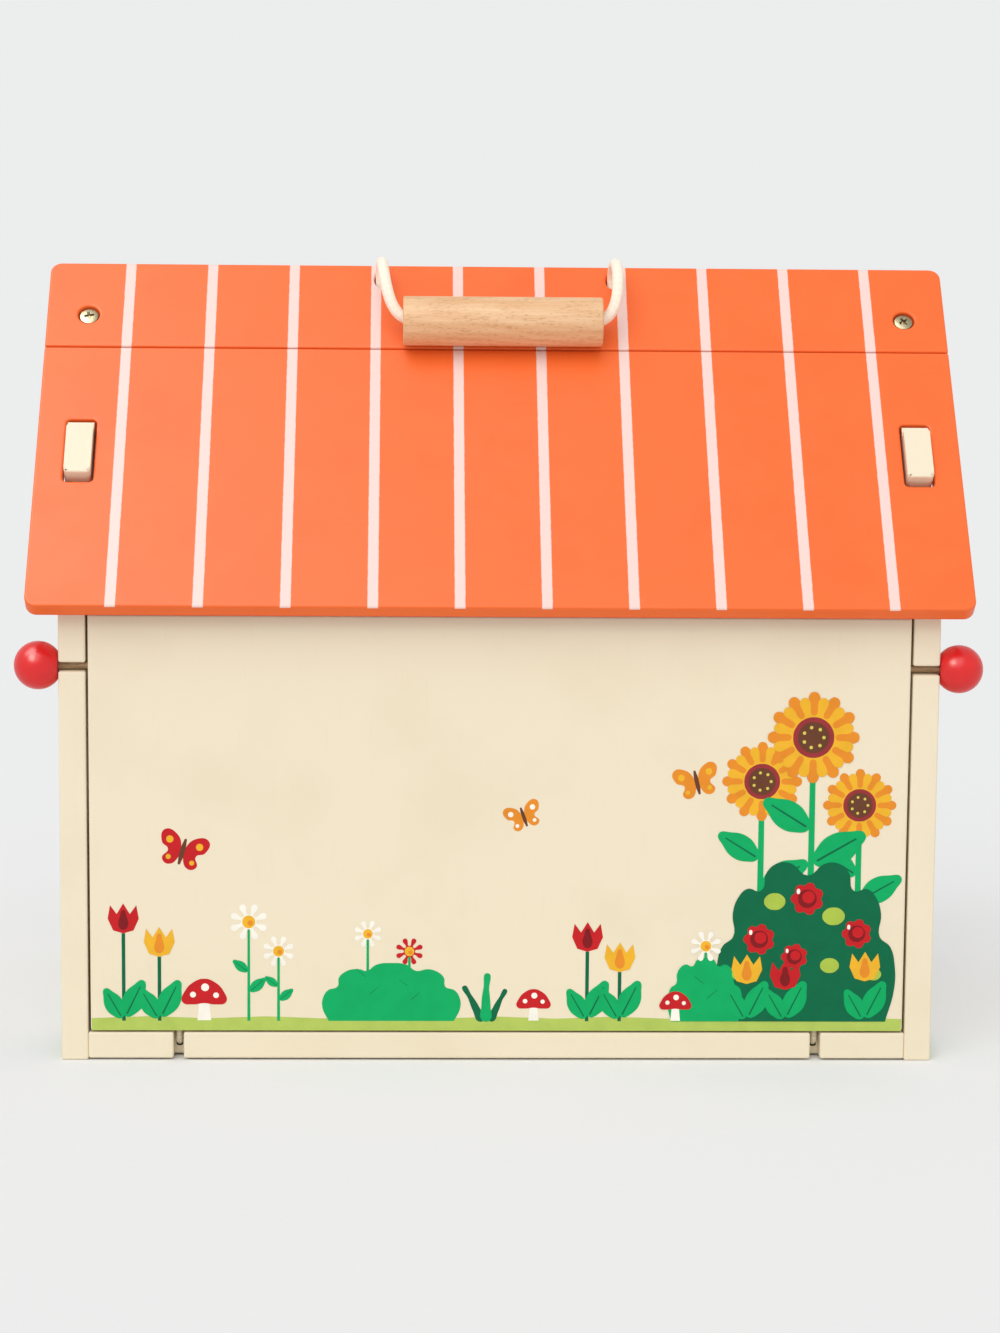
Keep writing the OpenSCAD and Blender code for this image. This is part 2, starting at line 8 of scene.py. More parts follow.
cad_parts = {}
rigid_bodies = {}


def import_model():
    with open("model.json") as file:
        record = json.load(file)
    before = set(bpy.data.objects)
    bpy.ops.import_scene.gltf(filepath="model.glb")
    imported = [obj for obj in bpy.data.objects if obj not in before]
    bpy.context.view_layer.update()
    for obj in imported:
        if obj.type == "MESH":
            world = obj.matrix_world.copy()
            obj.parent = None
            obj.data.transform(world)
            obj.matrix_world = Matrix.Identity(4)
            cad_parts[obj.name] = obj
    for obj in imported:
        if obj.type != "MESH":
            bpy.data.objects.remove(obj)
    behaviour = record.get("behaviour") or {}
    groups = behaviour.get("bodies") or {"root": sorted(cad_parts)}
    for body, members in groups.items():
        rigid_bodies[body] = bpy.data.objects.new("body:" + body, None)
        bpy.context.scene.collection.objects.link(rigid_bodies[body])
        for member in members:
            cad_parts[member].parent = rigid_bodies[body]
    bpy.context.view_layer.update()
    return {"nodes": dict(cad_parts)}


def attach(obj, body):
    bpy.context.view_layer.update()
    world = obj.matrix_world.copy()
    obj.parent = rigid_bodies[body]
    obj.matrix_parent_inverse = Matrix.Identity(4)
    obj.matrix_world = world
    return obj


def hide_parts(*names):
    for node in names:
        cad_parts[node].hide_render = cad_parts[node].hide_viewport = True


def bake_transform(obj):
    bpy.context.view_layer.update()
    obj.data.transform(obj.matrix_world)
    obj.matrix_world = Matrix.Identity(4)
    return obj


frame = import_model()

scene = bpy.context.scene
nodes = frame["nodes"]


def say(words):
    print("barn:", words)


say("frame loaded")

# camera first
shot = {
    "place": (-0.0319, -1.1552, 0.2782),
    "tiltDown": 7.644,  # degrees below level
    "turnRight": 1.628,
    "roll": 0.4755,
    "lens": 116.78,  # on a 36 mm wide sensor
}
cameraData = bpy.data.cameras.new("shotCamera")
cameraData.sensor_fit = "HORIZONTAL"
cameraData.sensor_width = 36
cameraData.lens = shot["lens"]
cameraData.clip_start = 0.05
camera = bpy.data.objects.new("shotCamera", cameraData)
camera.location = shot["place"]
camera.rotation_euler = (
    math.radians(90 - shot["tiltDown"]),
    math.radians(-shot["roll"]),
    math.radians(-shot["turnRight"]),
)
scene.collection.objects.link(camera)
scene.camera = camera
scene.view_settings.view_transform = "Standard"


# small helpers
def mm(value):
    return value / 1000


def linearColour(code, alpha=1.0):
    # sRGB hex to the linear colour that sockets want
    parts = [int(code[i : i + 2], 16) / 255 for i in (1, 3, 5)]
    return [p / 12.92 if p <= 0.04045 else ((p + 0.055) / 1.055) ** 2.4 for p in parts] + [alpha]


def plug(tree, node, inputs):
    # an input takes a value, an output of another node, or a node that stands for its first live output
    for key, value in inputs.items():
        if isinstance(value, bpy.types.Node):
            value = next(output for output in value.outputs if output.enabled)
        if isinstance(value, bpy.types.NodeSocket):
            tree.links.new(value, node.inputs[key])
        else:
            node.inputs[key].default_value = value


def addNode(tree, kind, inputs=None, **settings):
    node = tree.nodes.new("ShaderNode" + kind)
    for key, value in settings.items():
        setattr(node, key, value)
    plug(tree, node, inputs or {})
    return node


def newFinish(name):
    finish = bpy.data.materials.new(name)
    finish.use_nodes = True
    tree = finish.node_tree
    return finish, tree, tree.nodes["Principled BSDF"], addNode(tree, "TexCoord").outputs["Object"]


def stretch(share, along):
    # a scale that draws a pattern out along one axis
    return [share if axis == along else 1 for axis in "XYZ"]


def deselect():
    for thing in bpy.context.view_layer.objects:
        thing.select_set(False)


def pick(thing):
    deselect()
    thing.select_set(True)
    bpy.context.view_layer.objects.active = thing


def settle(thing):
    # place, turn and size go into the mesh
    pick(thing)
    bpy.ops.object.transform_apply(location=True, rotation=True, scale=True)
    return thing


def smooth(thing, angle):
    pick(thing)
    bpy.ops.object.shade_smooth_by_angle(angle=math.radians(angle))


def dress(thing, finish):
    thing.data.materials.clear()
    thing.data.materials.append(finish)


def join(things, name):
    pick(things[0])
    for thing in things:
        thing.select_set(True)
    if len(things) > 1:
        bpy.ops.object.join()
    things[0].name = name
    things[0].data.name = name
    return things[0]


def linked(name, data):
    thing = bpy.data.objects.new(name, data)
    scene.collection.objects.link(thing)
    return thing


def meshPiece(name, form):
    bmesh.ops.recalc_face_normals(form, faces=form.faces[:])
    data = bpy.data.meshes.new(name)
    form.to_mesh(data)
    form.free()
    return linked(name, data)


def frameAt(at, across, up, out):
    # local x, y and z take these three directions at this place
    return Matrix([(*turn, spot) for turn, spot in zip(zip(across, up, out), at)] + [(0, 0, 0, 1)])


# finishes: the size of a pattern is 1000 over its mm
def paintedBoard(name, code, edgeCode, sheen=0.42, grain=1.0, along="Z", gloss=0.22, over=None):
    # water-based enamel sprayed on beech ply: even colour, slight cloudiness, the grain just telegraphs
    # through, a fine orange-peel skin and small scuffs that change the gloss
    finish, tree, shader, place = newFinish(name)
    edge = linearColour(edgeCode)
    drawn = addNode(tree, "Mapping", {"Vector": place, "Scale": stretch(0.08, along)})
    fibre = addNode(tree, "TexNoise", {"Vector": drawn, "Scale": 1000 / 1.6, "Detail": 5.0, "Roughness": 0.6})
    cloud = addNode(tree, "TexNoise", {"Vector": place, "Scale": 1000 / 38, "Detail": 3.0})
    peel = addNode(tree, "TexNoise", {"Vector": place, "Scale": 1000 / 0.9, "Detail": 2.0})
    scuff = addNode(tree, "TexNoise", {"Vector": place, "Scale": 1000 / 9, "Detail": 6.0, "Roughness": 0.7})
    spread = addNode(tree, "MapRange", {"Value": cloud, "From Min": 0.30, "From Max": 0.52})
    tone = addNode(tree, "Mix", {0: spread, 6: edge, 7: linearColour(code)}, data_type="RGBA")
    fleck = addNode(tree, "MapRange", {"Value": fibre, "From Min": 0.60, "From Max": 0.78, "To Max": 0.10 * grain})
    colour = addNode(tree, "Mix", {0: fleck, 6: tone, 7: edge}, data_type="RGBA", blend_type="MULTIPLY")
    if over:
        colour = over(tree, place, colour)
    rough = addNode(tree, "MapRange", {"Value": scuff, "From Min": 0.35, "From Max": 0.7, "To Min": sheen - 0.04,
                                       "To Max": sheen + 0.10})
    height = addNode(tree, "Math", {0: fibre, 1: 0.45 * grain, 2: peel}, operation="MULTIPLY_ADD")
    relief = addNode(tree, "Bump", {"Height": height, "Strength": 0.18, "Distance": mm(0.08)})
    plug(tree, shader, {"Base Color": colour, "Roughness": rough, "Normal": relief, "IOR": 1.5,
                        "Specular IOR Level": gloss})
    return finish


roof = {
    "ridgeHeight": mm(265.94),
    "pitch": math.radians(49),
    "stripeStep": mm(28.73),
    "stripeShift": mm(0.5),
    "stripeWidth": mm(3.5),
    "stripeEnd": mm(145),
    "stripeSway": mm(0.16),
    "stripeBlur": mm(0.12),
    "stripeDepth": mm(0.7),  # paint shows only on the outer faces
    "stripeColour": "#F1D2CA",
    "undersideShadeDepth": mm(5),  # painted shade: the underside is painted a deeper red, for the shade under the roof
    "undersideShadeColour": "#EA4527",
}
cosPitch, sinPitch = math.cos(roof["pitch"]), math.sin(roof["pitch"])


def roofStripes(tree, place, colour):
    # white stripes sprayed through a stencil: soft, very slightly uneven stripe edges
    axes = addNode(tree, "SeparateXYZ", {"Vector": place}).outputs
    side, depth = [addNode(tree, "Math", {0: axes[axis]}, operation="ABSOLUTE") for axis in "XY"]
    waver = addNode(tree, "TexNoise", {"Vector": place, "Scale": 1000 / 2.2, "Detail": 2.0})
    shift, sway = roof["stripeShift"], roof["stripeSway"]
    swayed = addNode(tree, "MapRange", {"Value": waver, "To Min": -shift - sway, "To Max": sway - shift})
    x = addNode(tree, "Math", {0: axes["X"], 1: swayed}, operation="ADD")
    turn = addNode(tree, "Math", {0: x, 1: roof["stripeStep"]}, operation="FLOORED_MODULO")
    middle = addNode(tree, "Math", {0: turn, 1: roof["stripeStep"] / 2}, operation="SUBTRACT")
    away = addNode(tree, "Math", {0: middle}, operation="ABSOLUTE")
    half, blur = roof["stripeWidth"] / 2, roof["stripeBlur"]
    stripe = addNode(tree, "MapRange", {"Value": away, "From Min": half - blur, "From Max": half + blur, "To Min": 1.0,
                                        "To Max": 0.0})
    inSpan = addNode(tree, "Math", {0: side, 1: roof["stripeEnd"]}, operation="LESS_THAN")
    # height above the outer face of either slope
    across = addNode(tree, "Math", {0: depth, 1: sinPitch}, operation="MULTIPLY")
    fall = addNode(tree, "Math", {0: axes["Z"], 1: roof["ridgeHeight"]}, operation="SUBTRACT")
    above = addNode(tree, "Math", {0: fall, 1: cosPitch, 2: across}, operation="MULTIPLY_ADD")
    under = -roof["stripeDepth"]
    outer = addNode(tree, "MapRange", {"Value": above, "From Min": under - mm(0.1), "From Max": under})
    mask = addNode(tree, "Math", {0: stripe, 1: inSpan}, operation="MULTIPLY")
    shown = addNode(tree, "Math", {0: mask, 1: outer}, operation="MULTIPLY")
    # painted shade: more than this depth below the outer face, the colour turns to the deeper underside red
    under = -roof["undersideShadeDepth"]
    inner = addNode(tree, "MapRange", {"Value": above, "From Min": under - mm(0.4), "From Max": under, "To Min": 1.0,
                                       "To Max": 0.0})
    deep = addNode(tree, "Mix", {0: inner, 6: colour, 7: linearColour(roof["undersideShadeColour"])}, data_type="RGBA")
    return addNode(tree, "Mix", {0: shown, 6: deep, 7: linearColour(roof["stripeColour"])}, data_type="RGBA")


creamPaint = paintedBoard("creamEnamelOnPly", "#EEE1C6", "#EBDDC1")
doorPaint = paintedBoard("doorEnamelOnPly", "#EDE0C3", "#E9DABC")  # a hair more yellow
orangePaint = paintedBoard("orangeStripedEnamel", "#F66D2D", "#F4692A", 0.38, 0.7, "X", 0.28, roofStripes)


def plainWood(name, light, dark, fleckCode, along="X", ring=2.4, fleckAmount=0.55, heart=(0, 0, 0)):
    # bare sanded hardwood: long soft growth bands, and rings 2.8 mm apart round a distant heart that show as
    # arches, in which short darker ray flecks crowd along the grain
    finish, tree, shader, place = newFinish(name)
    drawn = addNode(tree, "Mapping", {"Vector": place, "Scale": stretch(0.05, along)})
    band = addNode(tree, "TexNoise", {"Vector": drawn, "Scale": 1000 / ring, "Detail": 6.0, "Roughness": 0.62,
                                      "Distortion": 0.4})
    ramp = addNode(tree, "MapRange", {"Value": band, "From Min": 0.34, "From Max": 0.66})
    drawn = addNode(tree, "Mapping", {"Vector": place, "Scale": stretch(0.22, along)})
    ray = addNode(tree, "TexNoise", {"Vector": drawn, "Scale": 1000 / 0.45, "Detail": 2.0})
    turned = addNode(tree, "Mapping", {"Vector": place, "Location": heart, "Rotation": (0.07, 0.09, 0.08)},
                     vector_type="TEXTURE")
    rings = {"Vector": turned, "Scale": 2 * math.pi / 20 / mm(2.8), "Distortion": 2.2, "Detail": 2.0,
             "Detail Scale": 0.35}
    arch = addNode(tree, "TexWave", rings, wave_type="RINGS", rings_direction=along).outputs["Fac"]
    share = addNode(tree, "Math", {0: arch, 1: -0.2, 2: ramp}, operation="MULTIPLY_ADD", use_clamp=True)
    tone = addNode(tree, "Mix", {0: share, 6: linearColour(dark), 7: linearColour(light)}, data_type="RGBA")
    crowd = addNode(tree, "Math", {0: arch, 1: 0.07, 2: ray}, operation="MULTIPLY_ADD")
    dash = addNode(tree, "MapRange", {"Value": crowd, "From Min": 0.60, "From Max": 0.70, "To Max": fleckAmount})
    colour = addNode(tree, "Mix", {0: dash, 6: tone, 7: linearColour(fleckCode)}, data_type="RGBA")
    rough = addNode(tree, "MapRange", {"Value": band, "To Min": 0.55, "To Max": 0.70})
    height = addNode(tree, "Math", {0: band, 1: ray}, operation="ADD")
    relief = addNode(tree, "Bump", {"Height": height, "Strength": 0.35, "Distance": mm(0.1)})
    plug(tree, shader, {"Base Color": colour, "Roughness": rough, "Normal": relief})
    return finish


beechWood = plainWood("sandedBeech", "#ECC499", "#DDAB79", "#BA8655", heart=(0, mm(-6), mm(228)))
ladderWood = plainWood("sandedPoplar", "#F0D9AC", "#E4C48E", "#C79F62", "Z", 3.2, 0.25)
rodWood = plainWood("unpaintedDowel", "#C0A37F", "#A58663", "#6E523A", ring=0.8)


def glossEnamel(name, code, darkCode):
    # dipped gloss enamel on a turned wooden ball: deep even colour, soft highlight, faint drip waviness
    finish, tree, shader, place = newFinish(name)
    wave = addNode(tree, "TexNoise", {"Vector": place, "Scale": 1000 / 5, "Detail": 3.0})
    skin = addNode(tree, "TexNoise", {"Vector": place, "Scale": 1000 / 1.4, "Detail": 2.0})
    colour = addNode(tree, "Mix", {0: wave, 6: linearColour(darkCode), 7: linearColour(code)}, data_type="RGBA")
    rough = addNode(tree, "MapRange", {"Value": wave, "To Min": 0.24, "To Max": 0.34})
    relief = addNode(tree, "Bump", {"Height": skin, "Strength": 0.12, "Distance": mm(0.1)})
    plug(tree, shader, {"Base Color": colour, "Roughness": rough, "Normal": relief, "Specular IOR Level": 0.45})
    return finish


def platedSteel(name, code, darkCode):
    # yellow-passivated zinc on steel: warm grey metal, mottled, with fine turning marks
    finish, tree, shader, place = newFinish(name)
    mottle = addNode(tree, "TexNoise", {"Vector": place, "Scale": 1000 / 0.8, "Detail": 4.0})
    colour = addNode(tree, "Mix", {0: mottle, 6: linearColour(darkCode), 7: linearColour(code)}, data_type="RGBA")
    rough = addNode(tree, "MapRange", {"Value": mottle, "To Min": 0.30, "To Max": 0.46})
    relief = addNode(tree, "Bump", {"Height": mottle, "Strength": 0.25, "Distance": mm(0.03)})
    plug(tree, shader, {"Base Color": colour, "Roughness": rough, "Normal": relief, "Metallic": 1.0})
    return finish


redEnamel = glossEnamel("redGlossEnamel", "#E62323", "#D4181C")
zincSteel = platedSteel("zincPlatedSteel", "#B3A683", "#7D7866")


def braidedCotton(name, code, hollowShadeCode, diameter, strands):
    # round braid: two families of flat strands cross each other, seen as small chevrons with soft fuzz
    finish, tree, shader, place = newFinish(name)
    along = addNode(tree, "UVMap", uv_map="alongCord")
    axes = addNode(tree, "SeparateXYZ", {"Vector": along}).outputs
    pitch = diameter * 1.1  # one crossing along the cord
    run = addNode(tree, "Math", {0: axes["X"], 1: 2 * math.pi / pitch}, operation="MULTIPLY")
    around = addNode(tree, "Math", {0: axes["Y"], 1: math.pi * strands}, operation="MULTIPLY")
    turns = [addNode(tree, "Math", {0: run, 1: around}, operation=way) for way in ("ADD", "SUBTRACT")]
    left, right = [addNode(tree, "Math", {0: turn}, operation="SINE") for turn in turns]
    lump = addNode(tree, "Math", {0: left, 1: right}, operation="MULTIPLY")
    fuzz = addNode(tree, "TexNoise", {"Vector": place, "Scale": 1000 / 0.25, "Detail": 4.0})
    height = addNode(tree, "Math", {0: fuzz, 1: 0.5, 2: lump}, operation="MULTIPLY_ADD")
    # painted shade: the low parts of the braid, between the strands, are coloured darker
    ramp = addNode(tree, "MapRange", {"Value": lump, "From Min": -0.9, "From Max": 0.5})
    colour = addNode(tree, "Mix", {0: ramp, 6: linearColour(hollowShadeCode), 7: linearColour(code)}, data_type="RGBA")
    relief = addNode(tree, "Bump", {"Height": height, "Strength": 0.35, "Distance": mm(0.1)})
    plug(tree, shader, {"Base Color": colour, "Roughness": 0.85, "Normal": relief, "Sheen Weight": 0.25,
                        "Sheen Roughness": 0.5})
    return finish


# the second colour of each cord is painted shade for the braid's hollows
ropeCotton = braidedCotton("braidedCotton", "#FCF2E0", "#F7EAD4", mm(4), 8)
hingeElastic = braidedCotton("braidedElastic", "#F3E9D2", "#D9CBAA", mm(2.2), 10)


def printInk(name, code):
    # screen-printed ink: flat colour with a slightly uneven lay and pinholes that show the paint below
    finish, tree, shader, place = newFinish(name)
    lay = addNode(tree, "TexNoise", {"Vector": place, "Scale": 1000 / 6, "Detail": 5.0})
    mesh = addNode(tree, "TexNoise", {"Vector": place, "Scale": 1000 / 0.5, "Detail": 2.0})
    full = linearColour(code)
    thin = [c * 0.93 for c in full[:3]] + [1]
    spread = addNode(tree, "MapRange", {"Value": lay, "From Min": 0.35, "From Max": 0.6})
    colour = addNode(tree, "Mix", {0: spread, 6: thin, 7: full}, data_type="RGBA")
    rough = addNode(tree, "MapRange", {"Value": lay, "To Min": 0.42, "To Max": 0.6})
    relief = addNode(tree, "Bump", {"Height": mesh, "Strength": 0.15, "Distance": mm(0.03)})
    plug(tree, shader, {"Base Color": colour, "Roughness": rough, "Normal": relief, "Specular IOR Level": 0.15})
    return finish


inkColours = {
    "grass": "#B5CA60", "emerald": "#04AD63", "forest": "#026944", "lime": "#AEC64C", "red": "#C81E24",
    "deepRed": "#82171C", "yellow": "#F1B62E", "orange": "#E98F2A", "brown": "#96603F", "darkBrown": "#6A3F2A",
    "maroon": "#9C3338", "grey": "#B9B3A6", "paleGreen": "#D3DFC0", "mustard": "#DCCB5C", "white": "#FBF6EA",
}
inks = {name: printInk(name + "Ink", code) for name, code in inkColours.items()}
# painted shade: a near-black ink for the discs that stand in for the shadow inside the hinge cord holes
inks["shade"] = printInk("paintedHoleShade", "#33261B")
say("finishes made")

# boards carried over from the frame
boards = {
    "roundEdge": mm(0.7),
    "steps": 3,
    "sharpAngle": math.radians(32),
    "mergeWithin": 0.00001,
    # y, z and reach in mm of what stays sharp on a gable: the step above its tab, and the bolt seats at its rear edge
    "leaveSharp": [(-48.4, 211.2, 5), (80.5, 36, 4.3), (80.5, 120, 4.3)],
}
paints = [
    (creamPaint, ("base_board", "back_wall", "loft_floor", "front_panel", "stall_front_fence", "stall_side_fence",
                  "stall_divider")),
    (orangePaint, ("rear_roof_panel", "ridge_strip", "front_roof_panel")),
    (doorPaint, ("left_door", "right_door")),
    (ladderWood, ("ladder",)),
]
for finish, names in paints:
    for name in names:
        board = nodes[name]
        dress(board, finish)
        weld = board.modifiers.new("mergeCorners", "WELD")
        weld.merge_threshold = boards["mergeWithin"]
        ease = board.modifiers.new("easedEdges", "BEVEL")
        ease.width = boards["roundEdge"]
        ease.segments = boards["steps"]
        ease.limit_method = "ANGLE"
        ease.angle_limit = boards["sharpAngle"]
        ease.use_clamp_overlap = False  # one short edge would take the rounding off the whole board
        ease.loop_slide = False
        pick(board)
        bpy.ops.object.shade_flat()
for name in ("wall_bolts", "barrel_nuts", "door_pins"):
    dress(nodes[name], zincSteel)
dress(nodes["knob_rods"], rodWood)
for name in ("left_knob", "right_knob"):
    dress(nodes[name], redEnamel)
    smooth(nodes[name], 40)

# gables as merged copies, because their short arcs stop the live bevel
for label in ("left", "right"):
    gable = linked(label + "GableBoard", nodes[label + "_gable"].data.copy())
    gable.data.name = gable.name
    faces = [vert.co.x for vert in gable.data.vertices]
    pick(gable)
    bpy.ops.object.mode_set(mode="EDIT")
    bpy.ops.mesh.select_all(action="SELECT")
    bpy.ops.mesh.remove_doubles(threshold=boards["mergeWithin"])
    bpy.ops.mesh.select_mode(type="EDGE")
    bpy.ops.mesh.select_all(action="DESELECT")
    for edge in bmesh.from_edit_mesh(gable.data).edges:
        near = any(math.hypot(v.co.y - mm(y), v.co.z - mm(z)) < mm(reach)
                   for v in edge.verts for y, z, reach in boards["leaveSharp"])
        edge.select_set(edge.calc_face_angle(0) > boards["sharpAngle"] and not near)
    bmesh.update_edit_mesh(gable.data)
    bpy.ops.mesh.bevel(offset=boards["roundEdge"], segments=boards["steps"], clamp_overlap=False, loop_slide=False)
    bpy.ops.object.mode_set(mode="OBJECT")
    for vert in gable.data.vertices:  # the rounding's ends are kept inside the board's two faces
        vert.co.x = min(max(vert.co.x, min(faces)), max(faces))
    bpy.ops.object.shade_flat()
    dress(gable, creamPaint)
    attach(gable, "barn")
    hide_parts(label + "_gable")
say("boards dressed")


# cross-head screws: turned head with a tapered cross, sunk a little below the board
screw = {
    "top": mm(-0.75),
    # radius and height in mm of the head's outline from its top
    "head": [(0, 0.12), (1.6, 0.08), (2.7, -0.08), (3.15, -0.25), (3.3, -0.5), (3.3, -0.75)],
    "neckRadius": mm(2.3),
    "seatDepth": mm(2.35),
    "shankRadius": mm(1.45),
    "crossReach": mm(2.0),
    "crossHalfWidth": mm(0.5),
    "crossDepth": mm(1.25),
    "crossFoot": (0.42, 0.75),  # share of the reach and of the width at the bottom
    "cutAbove": mm(0.4),
    "roofLength": mm(22),
    "gableLength": mm(30),
    "turnedSteps": 40,
}


def crossScrew(at, out, turn, length):
    profile = [(mm(r), screw["top"] + mm(z)) for r, z in screw["head"]]
    profile += [(screw["neckRadius"], -screw["seatDepth"]), (screw["shankRadius"], -screw["seatDepth"]),
                (screw["shankRadius"], -length), (0, -length)]
    form = bmesh.new()
    spots = [form.verts.new((r, 0, z)) for r, z in profile]
    for a, b in zip(spots, spots[1:]):
        form.edges.new((a, b))
    bmesh.ops.spin(form, geom=form.verts[:] + form.edges[:], cent=(0, 0, 0), axis=(0, 0, 1), angle=2 * math.pi,
                   steps=screw["turnedSteps"])
    bmesh.ops.remove_doubles(form, verts=form.verts[:], dist=0.000001)
    body = meshPiece("screwBody", form)
    form = bmesh.new()
    for crossed in (False, True):
        for vert in bmesh.ops.create_cube(form, size=2.0)["verts"]:
            deep = vert.co.z < 0
            long, wide = screw["crossFoot"] if deep else (1, 1)
            x = math.copysign(screw["crossReach"] * long, vert.co.x)
            y = math.copysign(screw["crossHalfWidth"] * wide, vert.co.y)
            z = screw["top"] + (-screw["crossDepth"] if deep else screw["cutAbove"])
            vert.co = (-y, x, z) if crossed else (x, y, z)
    cross = meshPiece("screwCross", form)
    pick(body)
    cut = body.modifiers.new("crossRecess", "BOOLEAN")
    cut.operation = "DIFFERENCE"
    cut.solver = "EXACT"
    cut.use_self = True
    cut.object = cross
    bpy.ops.object.modifier_apply(modifier="crossRecess")
    bpy.data.objects.remove(cross, do_unlink=True)
    smooth(body, 30)
    dress(body, zincSteel)
    out = Vector(out)
    side = out.orthogonal() if abs(out.x) > 0.5 else Vector((1, 0, 0))
    side = (side - out * side.dot(out)).normalized()
    body.matrix_world = frameAt(at, side, out.cross(side), out) @ Matrix.Rotation(math.radians(turn), 4, "Z")
    return body


def slopeSpot(x, s, side):
    # s is the way down the slope in mm; side is -1 for the front slope and 1 for the rear one
    at = (mm(x), side * cosPitch * mm(s), roof["ridgeHeight"] - sinPitch * mm(s))
    return at, (0, side * sinPitch, cosPitch)


frontSpots = ((-142.5, 23.3, 12), (142.5, 23.3, 33))  # across, down the slope, turn
rearSpots = ((-142.5, 34), (142.5, 34), (-142.5, 110), (142.5, 110))
gableSpots = ((-45, 5.1), (45, 5.1), (30, 139.5), (60, 139.5))
screwSets = {
    "roof_screws": [(*slopeSpot(x, s, -1), turn, screw["roofLength"]) for x, s, turn in frontSpots],
    "rear_roof_screws": [(*slopeSpot(x, s, 1), 17 * k, screw["roofLength"]) for k, (x, s) in enumerate(rearSpots)],
    "gable_screws": [((side * mm(147), mm(y), mm(z)), (side, 0, 0), 20 + 13 * k, screw["gableLength"])
                     for side in (-1, 1) for k, (y, z) in enumerate(gableSpots)],
}
for name, places in screwSets.items():
    piece = settle(join([crossScrew(*spot) for spot in places], name.replace("_", "") + "Detail"))
    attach(piece, "barn")
    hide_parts(name)
say("screws turned")


# rope handle
def smoothRoute(points, step):
    # even spacing along a smooth curve through the points
    fine = []
    for i in range(len(points) - 1):
        p0, p1, p2, p3 = points[max(i - 1, 0)], points[i], points[i + 1], points[min(i + 2, len(points) - 1)]
        for t in (k / 12 for k in range(12)):
            fine.append(0.5 * ((2 * p1) + (p2 - p0) * t + (2 * p0 - 5 * p1 + 4 * p2 - p3) * t * t
                               + (3 * p1 - p0 - 3 * p2 + p3) * t ** 3))
    fine.append(points[-1])
    total = sum((b - a).length for a, b in zip(fine, fine[1:]))
    count = max(2, round(total / step))
    out, target, walked = [fine[0]], total / count, 0.0
    for a, b in zip(fine, fine[1:]):
        piece = (b - a).length
        while walked + piece >= target - 1e-9 and len(out) < count:
            out.append(a.lerp(b, (target - walked) / piece))
            target += total / count
        walked += piece
    out.append(fine[-1])
    return out, total


def cordMesh(name, route, radius, sides, finish):
    # round cord along a route, with its own map of distance along and share around
    form = bmesh.new()
    uvLayer = form.loops.layers.uv.new("alongCord")
    rings, reach, side = [], [0.0], None
    for i, p in enumerate(route):
        ahead = (route[min(i + 1, len(route) - 1)] - route[max(i - 1, 0)]).normalized()
        if side is None:
            side = ahead.cross(Vector((1, 0, 0))).normalized()
        side = (side - ahead * side.dot(ahead)).normalized()
        up = ahead.cross(side)
        rings.append([form.verts.new(p + radius * (math.cos(a) * side + math.sin(a) * up))
                      for a in (2 * math.pi * k / sides for k in range(sides))])
        if i:
            reach.append(reach[-1] + (p - route[i - 1]).length)
    for i in range(len(rings) - 1):
        for k in range(sides):
            j = (k + 1) % sides
            face = form.faces.new((rings[i][k], rings[i][j], rings[i + 1][j], rings[i + 1][k]))
            face.smooth = True
            for loop, (step, turn) in zip(face.loops, ((i, k), (i, k + 1), (i + 1, k + 1), (i + 1, k))):
                loop[uvLayer].uv = (reach[step], turn / sides)
    form.faces.new(list(reversed(rings[0])))
    form.faces.new(rings[-1])
    cord = meshPiece(name, form)
    dress(cord, finish)
    return cord


rope = {
    "diameter": mm(4),
    "sides": 20,
    "step": mm(1.2),
    "hole": (40.8, -3.94, 261.4076),
    # from the knot below the ridge strip to inside the grip, in mm from the mouth of each hole, x towards the middle
    "start": [(0, 0, -9.8), (0, 0, -6.9), (0, 0, -3.9), (0, 0, -0.9), (0, -0.5, 1.3)],
    "left": [(0.05, -1.9, 3.3), (0.1, -4.3, 4.9), (0.2, -7.4, 5.6), (0.35, -10.6, 5.3), (0.6, -13.6, 4.2),
             (0.9, -16.2, 2.4), (1.35, -18.3, 0.1), (1.9, -19.85, -2.5), (2.6, -21.1, -5.2), (3.6, -22, -7.9),
             (5, -22.7, -10.4), (6.6, -23.2, -12.15), (8.4, -23.53, -13.25), (10.6, -23.81, -13.89),
             (13.2, -23.96, -14.19), (18, -23.96, -14.19), (28, -23.96, -14.19)],
    "right": [(-0.05, -1.9, 3.3), (-0.15, -4.3, 4.9), (-0.3, -7.4, 5.6), (-0.45, -10.6, 5.3), (-0.6, -13.6, 4.2),
              (-0.7, -16.2, 2.4), (-0.7, -18.3, 0.1), (-0.55, -19.85, -2.5), (-0.2, -21.1, -5.2),
              (0.4, -21.95, -7.7), (1.3, -22.6, -9.9), (2.6, -23.1, -11.75), (4.4, -23.5, -13.15),
              (6.6, -23.8, -13.88), (9.6, -23.96, -14.19), (15, -23.96, -14.19), (28, -23.96, -14.19)],
}


def ropeSide(label, side):
    x, y, z = rope["hole"]
    return [Vector((side * (x - p[0]), p[1] + y, p[2] + z)) / 1000 for p in rope["start"] + rope[label]]


ropeRoute, ropeLength = smoothRoute(ropeSide("left", -1) + ropeSide("right", 1)[::-1], rope["step"])
handleRope = cordMesh("handleRope", ropeRoute, rope["diameter"] / 2, rope["sides"], ropeCotton)
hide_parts("handle_cord")
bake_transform(handleRope)

